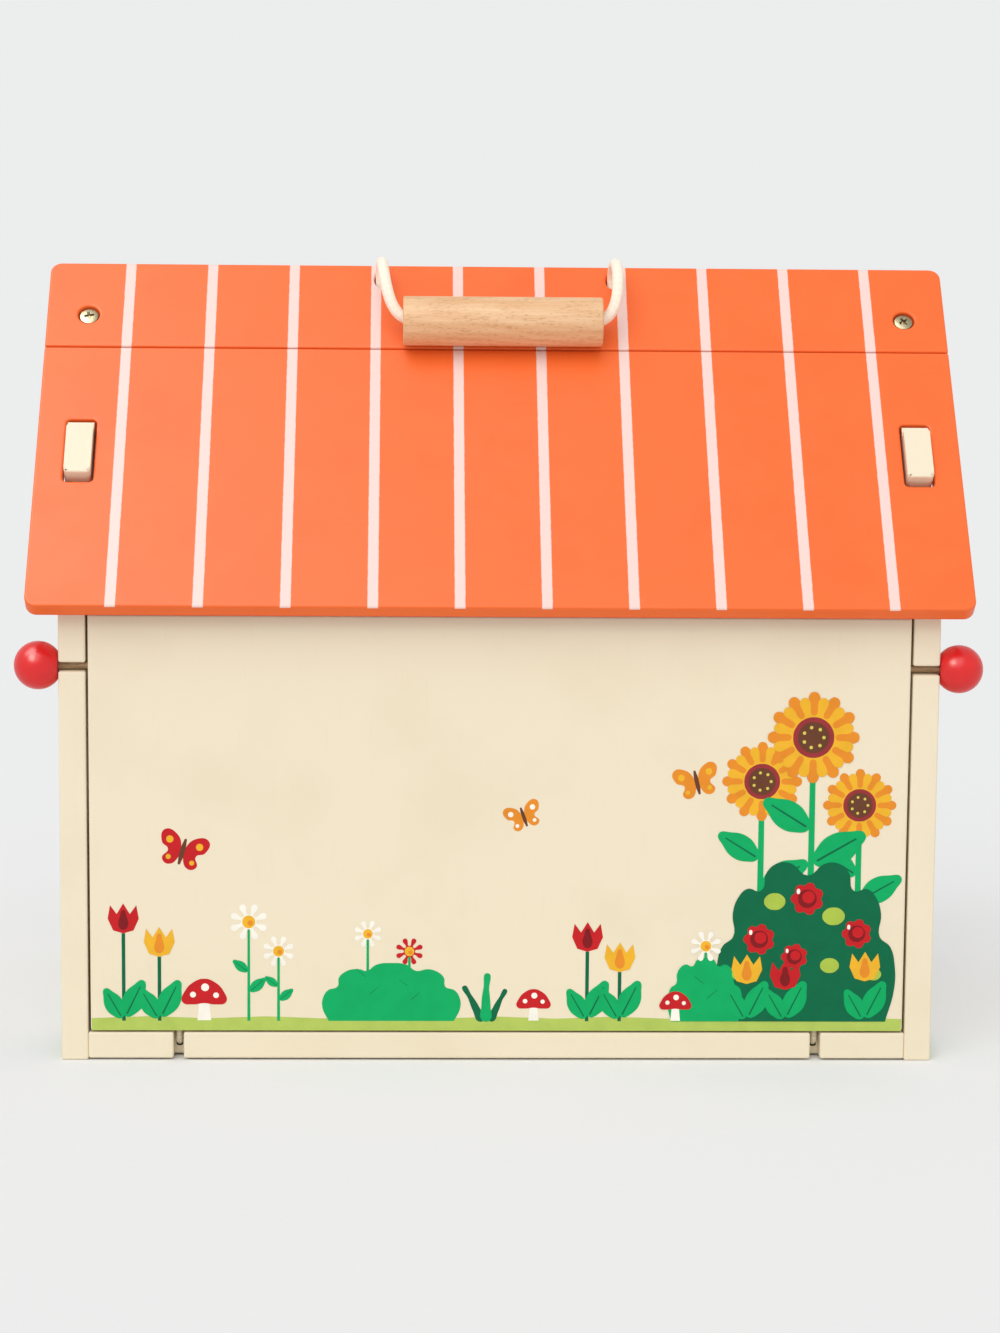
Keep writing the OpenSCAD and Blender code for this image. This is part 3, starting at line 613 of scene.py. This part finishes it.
grip = {
    "length": mm(69),
    "radius": mm(8.5),
    "bore": mm(2.4),
    "boreDepth": mm(6),
    "mouth": mm(4.2),
    "mouthDepth": mm(5),
    "place": (mm(1.4), mm(-27.9), mm(247.22)),
    "cornerRound": mm(0.7),
    "cornerSteps": 5,
}
deselect()
bpy.ops.mesh.primitive_cylinder_add(vertices=64, radius=grip["radius"], depth=grip["length"],
                                    location=grip["place"], rotation=(0, math.radians(90), 0))
gripPiece = settle(bpy.context.object)
gripPiece.name = "beechGrip"
bpy.ops.object.mode_set(mode="EDIT")
bpy.ops.mesh.select_all(action="DESELECT")
bpy.ops.object.mode_set(mode="OBJECT")
for face in gripPiece.data.polygons:
    face.select = abs(face.normal.x) > 0.9
bpy.ops.object.mode_set(mode="EDIT")
bpy.ops.mesh.inset(thickness=grip["radius"] - grip["mouth"])  # rim of the flared mouth
bpy.ops.mesh.extrude_region_shrink_fatten(TRANSFORM_OT_shrink_fatten={"value": -grip["mouthDepth"]})
flare = grip["bore"] / grip["mouth"]
for vert in bmesh.from_edit_mesh(gripPiece.data).verts:
    if vert.select:
        vert.co.y = grip["place"][1] + (vert.co.y - grip["place"][1]) * flare
        vert.co.z = grip["place"][2] + (vert.co.z - grip["place"][2]) * flare
bpy.ops.mesh.extrude_region_shrink_fatten(TRANSFORM_OT_shrink_fatten={"value": -grip["boreDepth"]})
bpy.ops.object.mode_set(mode="OBJECT")
edgeEase = gripPiece.modifiers.new("turnedCorners", "BEVEL")
edgeEase.width = grip["cornerRound"]
edgeEase.segments = grip["cornerSteps"]
edgeEase.limit_method = "ANGLE"
edgeEase.angle_limit = math.radians(60)
bpy.ops.object.modifier_apply(modifier="turnedCorners")
smooth(gripPiece, 40)
dress(gripPiece, beechWood)
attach(gripPiece, "handle")
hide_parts("handle_grip")

# places in mm at the right-hand hole
knot = {
    "turn": (40.8, -3.94, 246.4),
    "turnReach": 2.0,
    "turnRise": 1.5,
    "turnSteps": 60,
    "neck": [(40.8, -3.94, 251.6), (40.8, -3.94, 249.5), (40.8, -3.94, 247.5), (40.8, -3.94, 246.0)],
    "tail": [(40.8, -3.94, 246.5), (41.4, -4.6, 244.4), (41.9, -5.0, 242.4)],
    "radii": (mm(2.0), mm(1.95), mm(1.9)),  # of the turn, the neck and the tail
    "sides": 16,
    "step": mm(0.8),
}


def knotPieces(side):
    # overhand knot: one fat turn of the cord round its own tail
    middle, turns = Vector((side * knot["turn"][0], *knot["turn"][1:])), []
    for i in range(knot["turnSteps"] + 1):
        a = 2 * math.pi * i / knot["turnSteps"]
        x = knot["turnReach"] * math.cos(a) * (1 + 0.25 * math.cos(2 * a))
        turns.append((Vector((x, knot["turnReach"] * math.sin(a), knot["turnRise"] * math.sin(2 * a + 0.6)))
                      + middle) / 1000)
    runs = [smoothRoute([Vector((side * x, y, z)) / 1000 for x, y, z in knot[part]], knot["step"])[0]
            for part in ("neck", "tail")]
    return [cordMesh("knot" + part, route, radius, knot["sides"], ropeCotton)
            for part, route, radius in zip(("Turn", "Neck", "Tail"), [turns, *runs], knot["radii"])]


knots = join(knotPieces(-1) + knotPieces(1), "ropeKnots")
smooth(knots, 60)
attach(knots, "barn")
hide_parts("cord_knots")

hingeCord = {
    "diameter": mm(2.2),
    "sides": 14,
    "step": mm(0.6),
    "place": (107.7, -80.5, 5.1),
    "route": [(0, 0, 16), (0, 0, 12), (0, 0, 8), (0, 0, 5), (0, 0, 2.8), (0, 0.25, 1.6),
              (0, 0.8, 0.7), (0, 1.6, 0.2), (0, 2.8, 0), (0, 5, 0), (0, 8, 0), (0, 12, 0)],
}
for side, label in ((-1, "left"), (1, "right")):
    at = Vector((side * hingeCord["place"][0], *hingeCord["place"][1:]))
    route = smoothRoute([(at + Vector(p)) / 1000 for p in hingeCord["route"]], hingeCord["step"])[0]
    elastic = cordMesh(label + "HingeElastic", route, hingeCord["diameter"] / 2, hingeCord["sides"], hingeElastic)
    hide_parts(label + "_hinge_cord")
    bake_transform(elastic)
say("cords made")

# printed pictures: thin shapes that lie on the boards, painted in the order they are listed
ink = {
    "depth": mm(0.03),
    "step": mm(0.02),
    "lift": mm(0.01),
    "curveSteps": 6,
}


def flatShape(loops, finish):
    # loops of (across, up) points in mm: rounded outlines or straight ones
    data = bpy.data.curves.new("inkShape", "CURVE")
    data.dimensions = "2D"
    data.fill_mode = "BOTH"
    data.resolution_u = ink["curveSteps"]
    data.extrude = ink["depth"] / 2
    for points, rounded in loops:
        line = data.splines.new("BEZIER")
        line.bezier_points.add(len(points) - 1)
        for corner, spot in zip(line.bezier_points, points):
            corner.co = (mm(spot[0]), mm(spot[1]), 0)
            sharp = len(spot) > 2 or not rounded  # a third number marks a sharp corner
            corner.handle_left_type = corner.handle_right_type = "VECTOR" if sharp else "AUTO"
        line.use_cyclic_u = True
        line.resolution_u = ink["curveSteps"] if rounded else 1
    pick(linked("inkShape", data))
    bpy.ops.object.convert(target="MESH")
    dress(bpy.context.object, finish)
    return bpy.context.object


def printOn(name, body, marks, origin, across, up):
    # a mark that crosses earlier ones lies a hair above them
    placed, layers = [], {}
    for code, *loops in marks:
        xs = [spot[0] for points, _ in loops for spot in points]
        ys = [spot[1] for points, _ in loops for spot in points]
        box = (min(xs) - 0.5, min(ys) - 0.5, max(xs) + 0.5, max(ys) + 0.5)
        below = [high for high, other in placed
                 if other[0] < box[2] and other[2] > box[0] and other[1] < box[3] and other[3] > box[1]]
        high = max(below, default=-1) + 1
        placed.append((high, box))
        layers.setdefault((high, code), []).extend(loops)
    across, up = Vector(across), Vector(up)
    out = across.cross(up)
    shapes = []
    for (high, code), loops in layers.items():
        shape = flatShape(loops, inks[code])
        lift = ink["depth"] / 2 + ink["lift"] + high * ink["step"]
        shape.matrix_world = frameAt(Vector(origin) + out * lift, across, up, out)
        shapes.append(shape)
    piece = settle(join(shapes, name))
    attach(piece, body)


def planted(*rows):
    # each row is a drawing function and its settings
    return [mark for draw, *settings in rows for mark in draw(*settings)]


def moved(points, x, y, size=1.0, turn=0.0, flip=1):
    c, s = math.cos(math.radians(turn)), math.sin(math.radians(turn))
    return [(x + size * (flip * a * c - b * s), y + size * (flip * a * s + b * c)) for a, b in points]


def turnedOver(marks, acrossSign=-1, upSign=1):
    # the same marks for a face that is seen from the other side or upside down
    return [(code, *[([(acrossSign * spot[0], upSign * spot[1], *spot[2:]) for spot in points], rounded)
                     for points, rounded in loops]) for code, *loops in marks]


def dot(x, y, rx, ry=None, count=8):
    turns = [2 * math.pi * i / count for i in range(count)]
    return [(x + rx * math.cos(a), y + (ry or rx) * math.sin(a)) for a in turns]


def blot(code, *settings):
    return [(code, (dot(*settings), True))]


def petalRing(x, y, inner, outer, count, turn=0.0):
    # one outline with round petals
    points = []
    for k in range(count):
        for share, radius in ((0.0, inner), (0.32, outer), (0.68, outer)):
            a = math.radians(turn) + 2 * math.pi * (k + share) / count
            points.append((x + radius * math.cos(a), y + radius * math.sin(a)))
    return points


def roundBox(x0, y0, x1, y1, r):
    points = []
    for cx, cy, start in ((x1 - r, y1 - r, 0), (x0 + r, y1 - r, 90), (x0 + r, y0 + r, 180), (x1 - r, y0 + r, 270)):
        for k in range(5):
            a = math.radians(start + 22.5 * k)
            points.append((cx + r * math.cos(a), cy + r * math.sin(a)))
    return points


def bar(x0, y0, x1, y1, w0, w1=None):
    w1 = w1 or w0
    span = math.hypot(x1 - x0, y1 - y0)
    nx, ny = (y0 - y1) / span, (x1 - x0) / span
    return [(x0 + nx * w0, y0 + ny * w0), (x1 + nx * w1, y1 + ny * w1),
            (x1 - nx * w1, y1 - ny * w1), (x0 - nx * w0, y0 - ny * w0)]


# outlines in mm, from the foot of each
outlines = {
    "leaf": [(0, 0), (3.0, 3.0), (3.9, 7.2), (2.4, 11.4), (0, 14.5), (-2.4, 11.4), (-3.9, 7.2), (-3.0, 3.0)],
    "vein": [(-0.28, 1), (-0.2, 12), (0.2, 12), (0.28, 1)],
    "blade": [(-2.0, 0), (-2.6, 8), (-1.5, 18), (0.6, 26), (1.5, 17), (2.3, 8), (1.8, 0)],
    "cup": [(-4.4, 9.6), (-5.2, 5), (-3.4, 1), (0, 0), (3.4, 1), (5.2, 5), (4.4, 9.6), (2.2, 6.6), (0, 10.2),
            (-2.2, 6.6)],
    "cupHeart": [(-1.5, 2.4), (0, 1.2), (1.5, 2.4), (1.1, 5.8), (0, 8), (-1.1, 5.8)],
    "wing": [(0.5, 0.4), (2.6, 4.0), (6.4, 4.4), (6.2, 0.8), (4.0, -0.8), (5.0, -3.6), (2.8, -4.8), (0.5, -1.6)],
    "stalk": [(-2.2, 0), (-1.5, 7), (1.5, 7), (2.2, 0)],
    "cap": [(-7, 6), (-6.2, 9.5), (-3.2, 12.6), (0, 13.6), (3.2, 12.6), (6.2, 9.5), (7, 6), (3.5, 5.2), (0, 5.6),
            (-3.5, 5.2)],
}


def leaf(x, y, size, turn):
    return [("emerald", (moved(outlines["leaf"], x, y, size, turn), True)),
            ("forest", (moved(outlines["vein"], x, y, size, turn), False))]


def tulip(x, y, height, code="red", darker="deepRed"):
    stem = [("forest", (bar(x, y, x, y + height, 0.6), False))]
    return stem + leaf(x + 0.6, y + 1.5, 0.95, -26) + leaf(x - 0.6, y + 1, 0.8, 30) + [
        (code, (moved(outlines["cup"], x, y + height), False)),
        (darker, (moved(outlines["cupHeart"], x, y + height), True))]


def daisy(x, y, stemLength=0, size=1.0, code="white", heart="yellow"):
    marks = []
    if stemLength:
        marks.append(("emerald", (bar(x, y, x, y + stemLength, 0.5, 0.4), False)))
        marks += leaf(x + 0.4, y + stemLength * 0.3, 0.5 * size, -50)
        marks += leaf(x - 0.4, y + stemLength * 0.5, 0.45 * size, 52)
    top = y + stemLength
    marks.append((code, (petalRing(x, top, 2.6 * size, 6.4 * size, 8), True)))
    return marks + blot(heart, x, top, 2.3 * size) + blot("orange", x + 0.5 * size, top - 0.4 * size, size)


def sunflower(x, y, height, size):
    top = y + height
    marks = [("emerald", (bar(x, y, x, top, 1.2, 0.9), False))]
    marks += leaf(x + 0.8, y + height * 0.56, 1.2 * size, -60) + leaf(x - 0.8, y + height * 0.68, 1.1 * size, 58)
    marks.append(("orange", (petalRing(x, top, 7.0 * size, 13.0 * size, 12, 15), True)))
    marks.append(("yellow", (petalRing(x, top, 6.4 * size, 11.6 * size, 12), True)))
    marks += blot("maroon", x, top, 6.0 * size, None, 12) + blot("darkBrown", x, top, 4.6 * size, None, 12)
    for a in (2 * math.pi * k / 7 for k in range(7)):
        marks += blot("mustard", x + 3 * size * math.cos(a), top + 3 * size * math.sin(a), 0.5 * size, None, 6)
    return marks


def rose(x, y, size):
    return [("red", (petalRing(x, y, 4.4 * size, 5.2 * size, 7), True)), *blot("deepRed", x, y, 3.0 * size),
            *blot("red", x + 0.4 * size, y + 0.5 * size, 2.0 * size),
            *blot("white", x - 2.9 * size, y + 2.4 * size, 0.55 * size, 0.9 * size, 6)]


def bush(x, y, width, height, lumps, code="forest"):
    # round hedge: a full arch with one soft lump after another
    outline = [(x + width * 0.44, y, 1), (x - width * 0.44, y, 1)]
    steps = 4 * lumps
    for k in range(1, steps):
        a = math.pi * (1 - k / steps)
        swell = 0.90 + 0.10 * abs(math.sin(math.pi * k / 4)) ** 0.7
        c, s = math.cos(a), math.sin(a)
        across = math.copysign(abs(c) ** 0.82, c)
        outline.append((x + swell * width / 2 * across, y + swell * height * s ** 0.78))
    return [(code, (outline, True))]


def butterfly(x, y, size, code, spots, turn):
    where = (x, y, size, turn)
    marks = [(code, *[(moved(outlines["wing"], *where, flip), True) for flip in (1, -1)])]
    marks.append(("darkBrown", (moved(dot(0, -0.4, 0.65, 3.8), *where), True)))
    for side in (1, -1):
        for a, b, r in ((4.3, 2.1, 1.0), (3.4, -2.8, 0.7)):
            marks.append((spots, (moved(dot(side * a, b, r), *where), True)))
    return marks


def mushroom(x, y, size):
    marks = [("white", (moved(outlines["stalk"], x, y, size), False)),
             ("red", (moved(outlines["cap"], x, y, size), True))]
    for a, b, r in ((-3.6, 8.4, 0.95), (0.3, 10.8, 1.25), (3.8, 8.2, 0.9)):
        marks.append(("white", (moved(dot(a, b, r), x, y, size), True)))
    return marks


def tuft(x, y, size):
    return [("forest", (moved(outlines["blade"], x + 2.2 * size, y, 0.66 * size, -24), True)),
            ("forest", (moved(outlines["blade"], x - 2.2 * size, y, 0.74 * size, 26, -1), True)),
            ("emerald", (moved(outlines["blade"], x, y, size * 0.9), True))]


def ground(x0, x1, y0, y1):
    count = max(3, int((x1 - x0) / 19))
    top = [(x0 + (x1 - x0) * i / count, y1 + (0.35 if i % 2 else -0.35)) for i in range(count + 1)]
    return [("grass", ([(x0, y0), *top, (x1, y0)], False))]


def windowTrim(x, y, w, h):
    ring = [(roundBox(x - w / 2 - gap, y - h / 2 - gap, x + w / 2 + gap, y + h / 2 + gap, gap + 1.6), False)
            for gap in (4.2, 1.2)]
    return [("maroon", *ring)]


# outer face of the folding front: a flower bed at the right, small plants along the ground
front = planted(
    (ground, -136.8, 136.8, 10.3, 14.8), (sunflower, 88, 14, 82, 1.0), (sunflower, 121, 14, 74, 0.92),
    (sunflower, 105, 14, 97, 1.15), (bush, 104, 13.6, 62, 56, 6), (bush, 70, 13.6, 26, 22, 5, "emerald"),
    (rose, 88, 42, 1.0), (rose, 104, 56, 1.05), (rose, 121, 44, 0.95), (rose, 100, 36, 0.85),
    (blot, "lime", 93, 55, 3.6, 2.88), (blot, "lime", 113, 50, 3.8, 3.04), (blot, "lime", 112, 33, 3.2, 2.56),
    (blot, "lime", 82, 30, 3.0, 2.4), (blot, "lime", 127, 30, 2.6, 2.08),
    (tulip, 84, 13.6, 13, "yellow", "orange"), (tulip, 97, 13.6, 11), (tulip, 124, 13.6, 14, "yellow", "orange"),
    (daisy, 70, 13.6, 26, 0.8), (mushroom, 60, 13.8, 0.75), (butterfly, 66, 96, 1.1, "orange", "yellow", 14),
    (tulip, -126, 13.6, 30), (tulip, -114, 13.6, 22, "yellow", "orange"), (mushroom, -99, 13.8, 1.05),
    (daisy, -84, 13.6, 34, 0.95), (daisy, -74, 13.6, 24, 0.8), (butterfly, -106, 72, 1.2, "red", "yellow", -16),
    (bush, -36, 13.6, 48, 20, 5, "emerald"), (daisy, -44, 13.6, 30, 0.7),
    (daisy, -30, 13.6, 24, 0.7, "red", "yellow"), (tuft, -4, 13.8, 0.7), (mushroom, 12, 13.8, 0.8),
    (tulip, 30, 13.6, 24), (tulip, 41, 13.6, 17, "yellow", "orange"), (butterfly, 8, 84, 0.9, "orange", "white", 20))
printOn("frontPrint", "front_panel", front, (0, mm(-85), 0), (1, 0, 0), (0, 0, 1))

# inner face of the folding front: a yard with stepping stones once it lies flat
yard = planted(
    (ground, -136.4, 136.4, 142, 150), (blot, "paleGreen", -74, 64, 48, 24, 12),
    (blot, "paleGreen", 80, 92, 42, 28, 12), *[(blot, "brown", -52 + 15 * k, 40 + 9 * k, 5.4, 3.0) for k in range(8)],
    (daisy, -112, 118, 0, 0.8), (daisy, 108, 38, 0, 0.8, "red", "yellow"), (tuft, -120, 84, 0.6),
    (tuft, 112, 112, 0.6), (tuft, -16, 108, 0.5), (daisy, -88, 28, 0, 0.6), (daisy, 60, 24, 0, 0.6))
printOn("yardPrint", "front_panel", yard, (0, mm(-76), 0), (-1, 0, 0), (0, 0, 1))
say("front printed")

# gables: window frames on both faces, plants and butterflies outside; the ground stops clear of the base screws
frames = windowTrim(0, 176, 36, 48) + windowTrim(0, 81, 100, 42)
wall = frames + planted(
    (ground, -84.2, -50, 1.2, 6), (ground, -40, 40, 1.2, 6), (ground, 50, 84.2, 1.2, 6),
    (tulip, -69, 5, 24), (tulip, -58, 5, 17, "yellow", "orange"), (mushroom, -32, 5.2, 0.85),
    (bush, 67, 5, 30, 27, 5), (rose, 61, 18, 0.7), (rose, 72, 22, 0.75), (daisy, 34, 5, 30, 0.75),
    (daisy, -18, 5, 28, 0.75), (daisy, -8, 5, 20, 0.65, "red", "yellow"), (tuft, 14, 5.2, 0.7),
    (butterfly, -44, 117, 1.0, "orange", "yellow", 14), (butterfly, 46, 120, 0.85, "red", "white", -12))
inside = frames + butterfly(44, 124, 0.8, "orange", "yellow", -14)
for side, label in ((-1, "left"), (1, "right")):
    printOn(label + "GablePrint", "barn", wall, (side * mm(147), 0, 0), (0, side, 0), (0, 0, 1))
    printOn(label + "GableTrim", "barn", inside, (side * mm(138), 0, 0), (0, -side, 0), (0, 0, 1))

# back wall: window frames on both faces and a strip of garden outside
frames = windowTrim(-100, 75, 42, 44) + windowTrim(100, 75, 42, 44)
back = frames + planted(
    (ground, -137, -33.5, 10.4, 14.8), (ground, 57.5, 137, 10.4, 14.8), (tulip, -108, 14, 14),
    (bush, -84, 14, 36, 18, 5, "emerald"), (daisy, -48, 14, 30, 0.75), (tuft, -59, 14, 0.7),
    (tulip, 68, 14, 22, "yellow", "orange"), (mushroom, 82, 14, 0.85), (bush, 112, 14, 34, 15, 5),
    (rose, 106, 21, 0.6), (butterfly, -64, 118, 1.0, "red", "yellow", 12),
    (butterfly, 94, 122, 0.9, "orange", "white", -14))
printOn("backPrint", "barn", turnedOver(back), (0, mm(85), 0), (-1, 0, 0), (0, 0, 1))
printOn("backTrim", "barn", frames, (0, mm(76), 0), (1, 0, 0), (0, 0, 1))

# painted shade: dark discs at the back of the base board's slots, round the two hinge cords, stand in for the shadow
# in the mouths of their holes
across, _, up = hingeCord["place"]
holeShadeMarks = planted(*[(blot, "shade", x, up, 1.65, None, 12) for x in (-across, across)])
printOn("paintedHoleMouthShade", "barn", holeShadeMarks, (0, mm(-78.5), 0), (1, 0, 0), (0, 0, 1))


def braceLines(hinge, free):
    # plank door in grey lines: two uprights, three rails and a brace from each free corner
    low, high, toFree = 19.5, 125.5, 1 if free > hinge else -1
    a, b, middle, w = hinge + toFree * 3.2, free - toFree * 1.6, 72.5, 0.9
    lines = [(x, low, x, high) for x in (a, b)] + [(a, z, b, z) for z in (low + w, middle, high - w)]
    lines += [(a, middle, b, z) for z in (low + 2, high - 2)]
    return [("grey", (bar(*line, w), False)) for line in lines]


for label, hinge, free in (("left", -31.0, 11.4), ("right", 55.0, 12.6)):
    lines = braceLines(hinge, free)
    printOn(label + "DoorOuterLines", label + "_door", turnedOver(lines), (0, mm(85), 0), (-1, 0, 0), (0, 0, 1))
    printOn(label + "DoorInnerLines", label + "_door", lines, (0, mm(79), 0), (1, 0, 0), (0, 0, 1))

# underside of the lifting roof panel: a garden with beds and a rail fence, upright when the panel is laid down
lawn = (-136, 42, 136, 140)
beds = [(-134, -84, 50, 92, "mustard"), (-76, -20, 50, 84, "lime"), (-10, 50, 50, 92, "mustard"),
        (58, 132, 50, 84, "lime"), (-134, -70, 102, 120, "white"), (-60, 132, 102, 120, "paleGreen")]
garden = [("grass", (roundBox(*lawn, 5), False))]
garden += [(code, (roundBox(x0, y0, x1, y1, 4), False)) for x0, x1, y0, y1, code in beds]
for k in range(5):
    garden.append(("emerald", (petalRing(-126 + 9 * k, 62, 2.6, 3.8, 6), True)))
    garden.append(("forest", (petalRing(-126 + 9 * k, 80, 2.6, 3.8, 6), True)))
    garden += blot("orange", -70 + 11 * k, 65, 3.4)
    garden.append(("forest", (moved(outlines["leaf"], -70 + 11 * k, 68, 0.42), True)))
for k in range(4):
    garden += daisy(2 + 14 * k, 62, 0, 0.6) + daisy(-4 + 14 * k, 80, 0, 0.6, "red", "yellow")
for k in range(6):
    garden.append(("emerald", (petalRing(66 + 12 * k, 66, 3.4, 5.0, 7), True)))
    garden += blot("lime", 66 + 12 * k, 66, 2.2)
garden += [("brown", (bar(-134 + 33.5 * k, 124, -134 + 33.5 * k, 138, 1.5), False)) for k in range(9)]
garden += [("brown", (bar(-135.5, y, 135.5, y, 0.8), False)) for y in (128.5, 133.5)]
under = (0, sinPitch * mm(6), roof["ridgeHeight"] - cosPitch * mm(6))
printOn("gardenPrint", "roof_panel", turnedOver(garden, -1, -1), under, (-1, 0, 0), (0, cosPitch, sinPitch))
say("pictures printed")

# floor and light
studio = {
    "paper": "#ECEDED",
    "paperTones": ("#EBECEC", "#EEEFEF"),
    "paperSize": 24,
    "paperGlow": 0.45,
    "foot": {"X": mm(147), "Y": mm(85)},  # half the barn's length and depth: the glow fades out there
    "fill": 0.70,
    "sun": {"energy": 1.32, "angle": math.radians(52), "turn": (math.radians(41), math.radians(-17), 0)},
    # soft boxes that only show in gloss: a broad one for the paint's sheen, a low one for the knobs' soft spot
    "boxes": {
        "sheenBox": {"size": (0.9, 0.8), "energy": 16, "colour": "#FFFFFF", "at": (-0.62, -0.35, 1.15), "aim": 0.2},
        "lowBox": {"size": (0.42, 0.42), "energy": 10, "colour": "#FFF0DC", "at": (-0.66, -0.98, 0.95), "aim": 0.12},
    },
}


def seenDirectly(tree):
    # 1 for what the camera sees, straight or in gloss and glass
    path = addNode(tree, "LightPath").outputs
    shine = addNode(tree, "Math", {0: path["Is Glossy Ray"], 1: path["Is Transmission Ray"]}, operation="ADD")
    return addNode(tree, "Math", {0: path["Is Camera Ray"], 1: shine}, operation="ADD", use_clamp=True)


deselect()
bpy.ops.mesh.primitive_plane_add(size=studio["paperSize"], location=(0, 0, 0))
floor = bpy.context.object
floor.name = "studioFloor"
paper, tree, shader, place = newFinish("seamlessPaper")
tooth = addNode(tree, "TexNoise", {"Vector": place, "Scale": 1000 / 3, "Detail": 4.0})
dark, light = [linearColour(code) for code in studio["paperTones"]]
tone = addNode(tree, "Mix", {0: tooth, 6: dark, 7: light}, data_type="RGBA")
plug(tree, shader, {"Base Color": tone, "Roughness": 0.9, "Specular IOR Level": 0.0})
# painted light: the floor partly glows, seen only by camera and gloss rays, which lifts the barn's shadow on it; the
# glow fades out at the barn's foot, so the real shade shows there
lit = addNode(tree, "Emission", {"Color": linearColour(studio["paper"]), "Strength": 1.0})
axes = addNode(tree, "SeparateXYZ", {"Vector": place}).outputs
past = []  # how far outside the foot, both ways
for axis, half in studio["foot"].items():
    side = addNode(tree, "Math", {0: axes[axis]}, operation="ABSOLUTE")
    past.append(addNode(tree, "Math", {0: side, 1: half}, operation="SUBTRACT"))
away = addNode(tree, "Math", {0: past[0], 1: past[1]}, operation="MAXIMUM")
glow = addNode(tree, "MapRange", {"Value": away, "From Min": mm(-0.5), "From Max": mm(7),
                                  "To Max": studio["paperGlow"]})
share = addNode(tree, "Math", {0: glow, 1: seenDirectly(tree)}, operation="MULTIPLY")
blended = addNode(tree, "MixShader", {0: share, 1: shader, 2: lit})
plug(tree, tree.nodes["Material Output"], {"Surface": blended})
dress(floor, paper)

world = bpy.data.worlds.new("studioWorld")
scene.world = world
world.use_nodes = True
tree = world.node_tree
air = tree.nodes["Background"]
plug(tree, air, {"Color": (1, 1, 1, 1), "Strength": studio["fill"]})
seen = addNode(tree, "Background", {"Color": linearColour(studio["paper"]), "Strength": 1.0})
blended = addNode(tree, "MixShader", {0: seenDirectly(tree), 1: air, 2: seen})
plug(tree, tree.nodes["World Output"], {"Surface": blended})

sunData = bpy.data.lights.new("windowKey", "SUN")
sunData.energy = studio["sun"]["energy"]
sunData.angle = studio["sun"]["angle"]
linked("windowKey", sunData).rotation_euler = studio["sun"]["turn"]

for name, box in studio["boxes"].items():
    data = bpy.data.lights.new(name, "AREA")
    data.shape = "RECTANGLE"
    data.size, data.size_y = box["size"]
    data.energy = box["energy"]
    data.color = linearColour(box["colour"])[:3]
    softBox = linked(name, data)
    softBox.location = box["at"]
    softBox.rotation_euler = (Vector((0, 0, box["aim"])) - softBox.location).to_track_quat("-Z", "Y").to_euler()
    softBox.visible_diffuse = False
    softBox.visible_camera = False
say("studio lit")
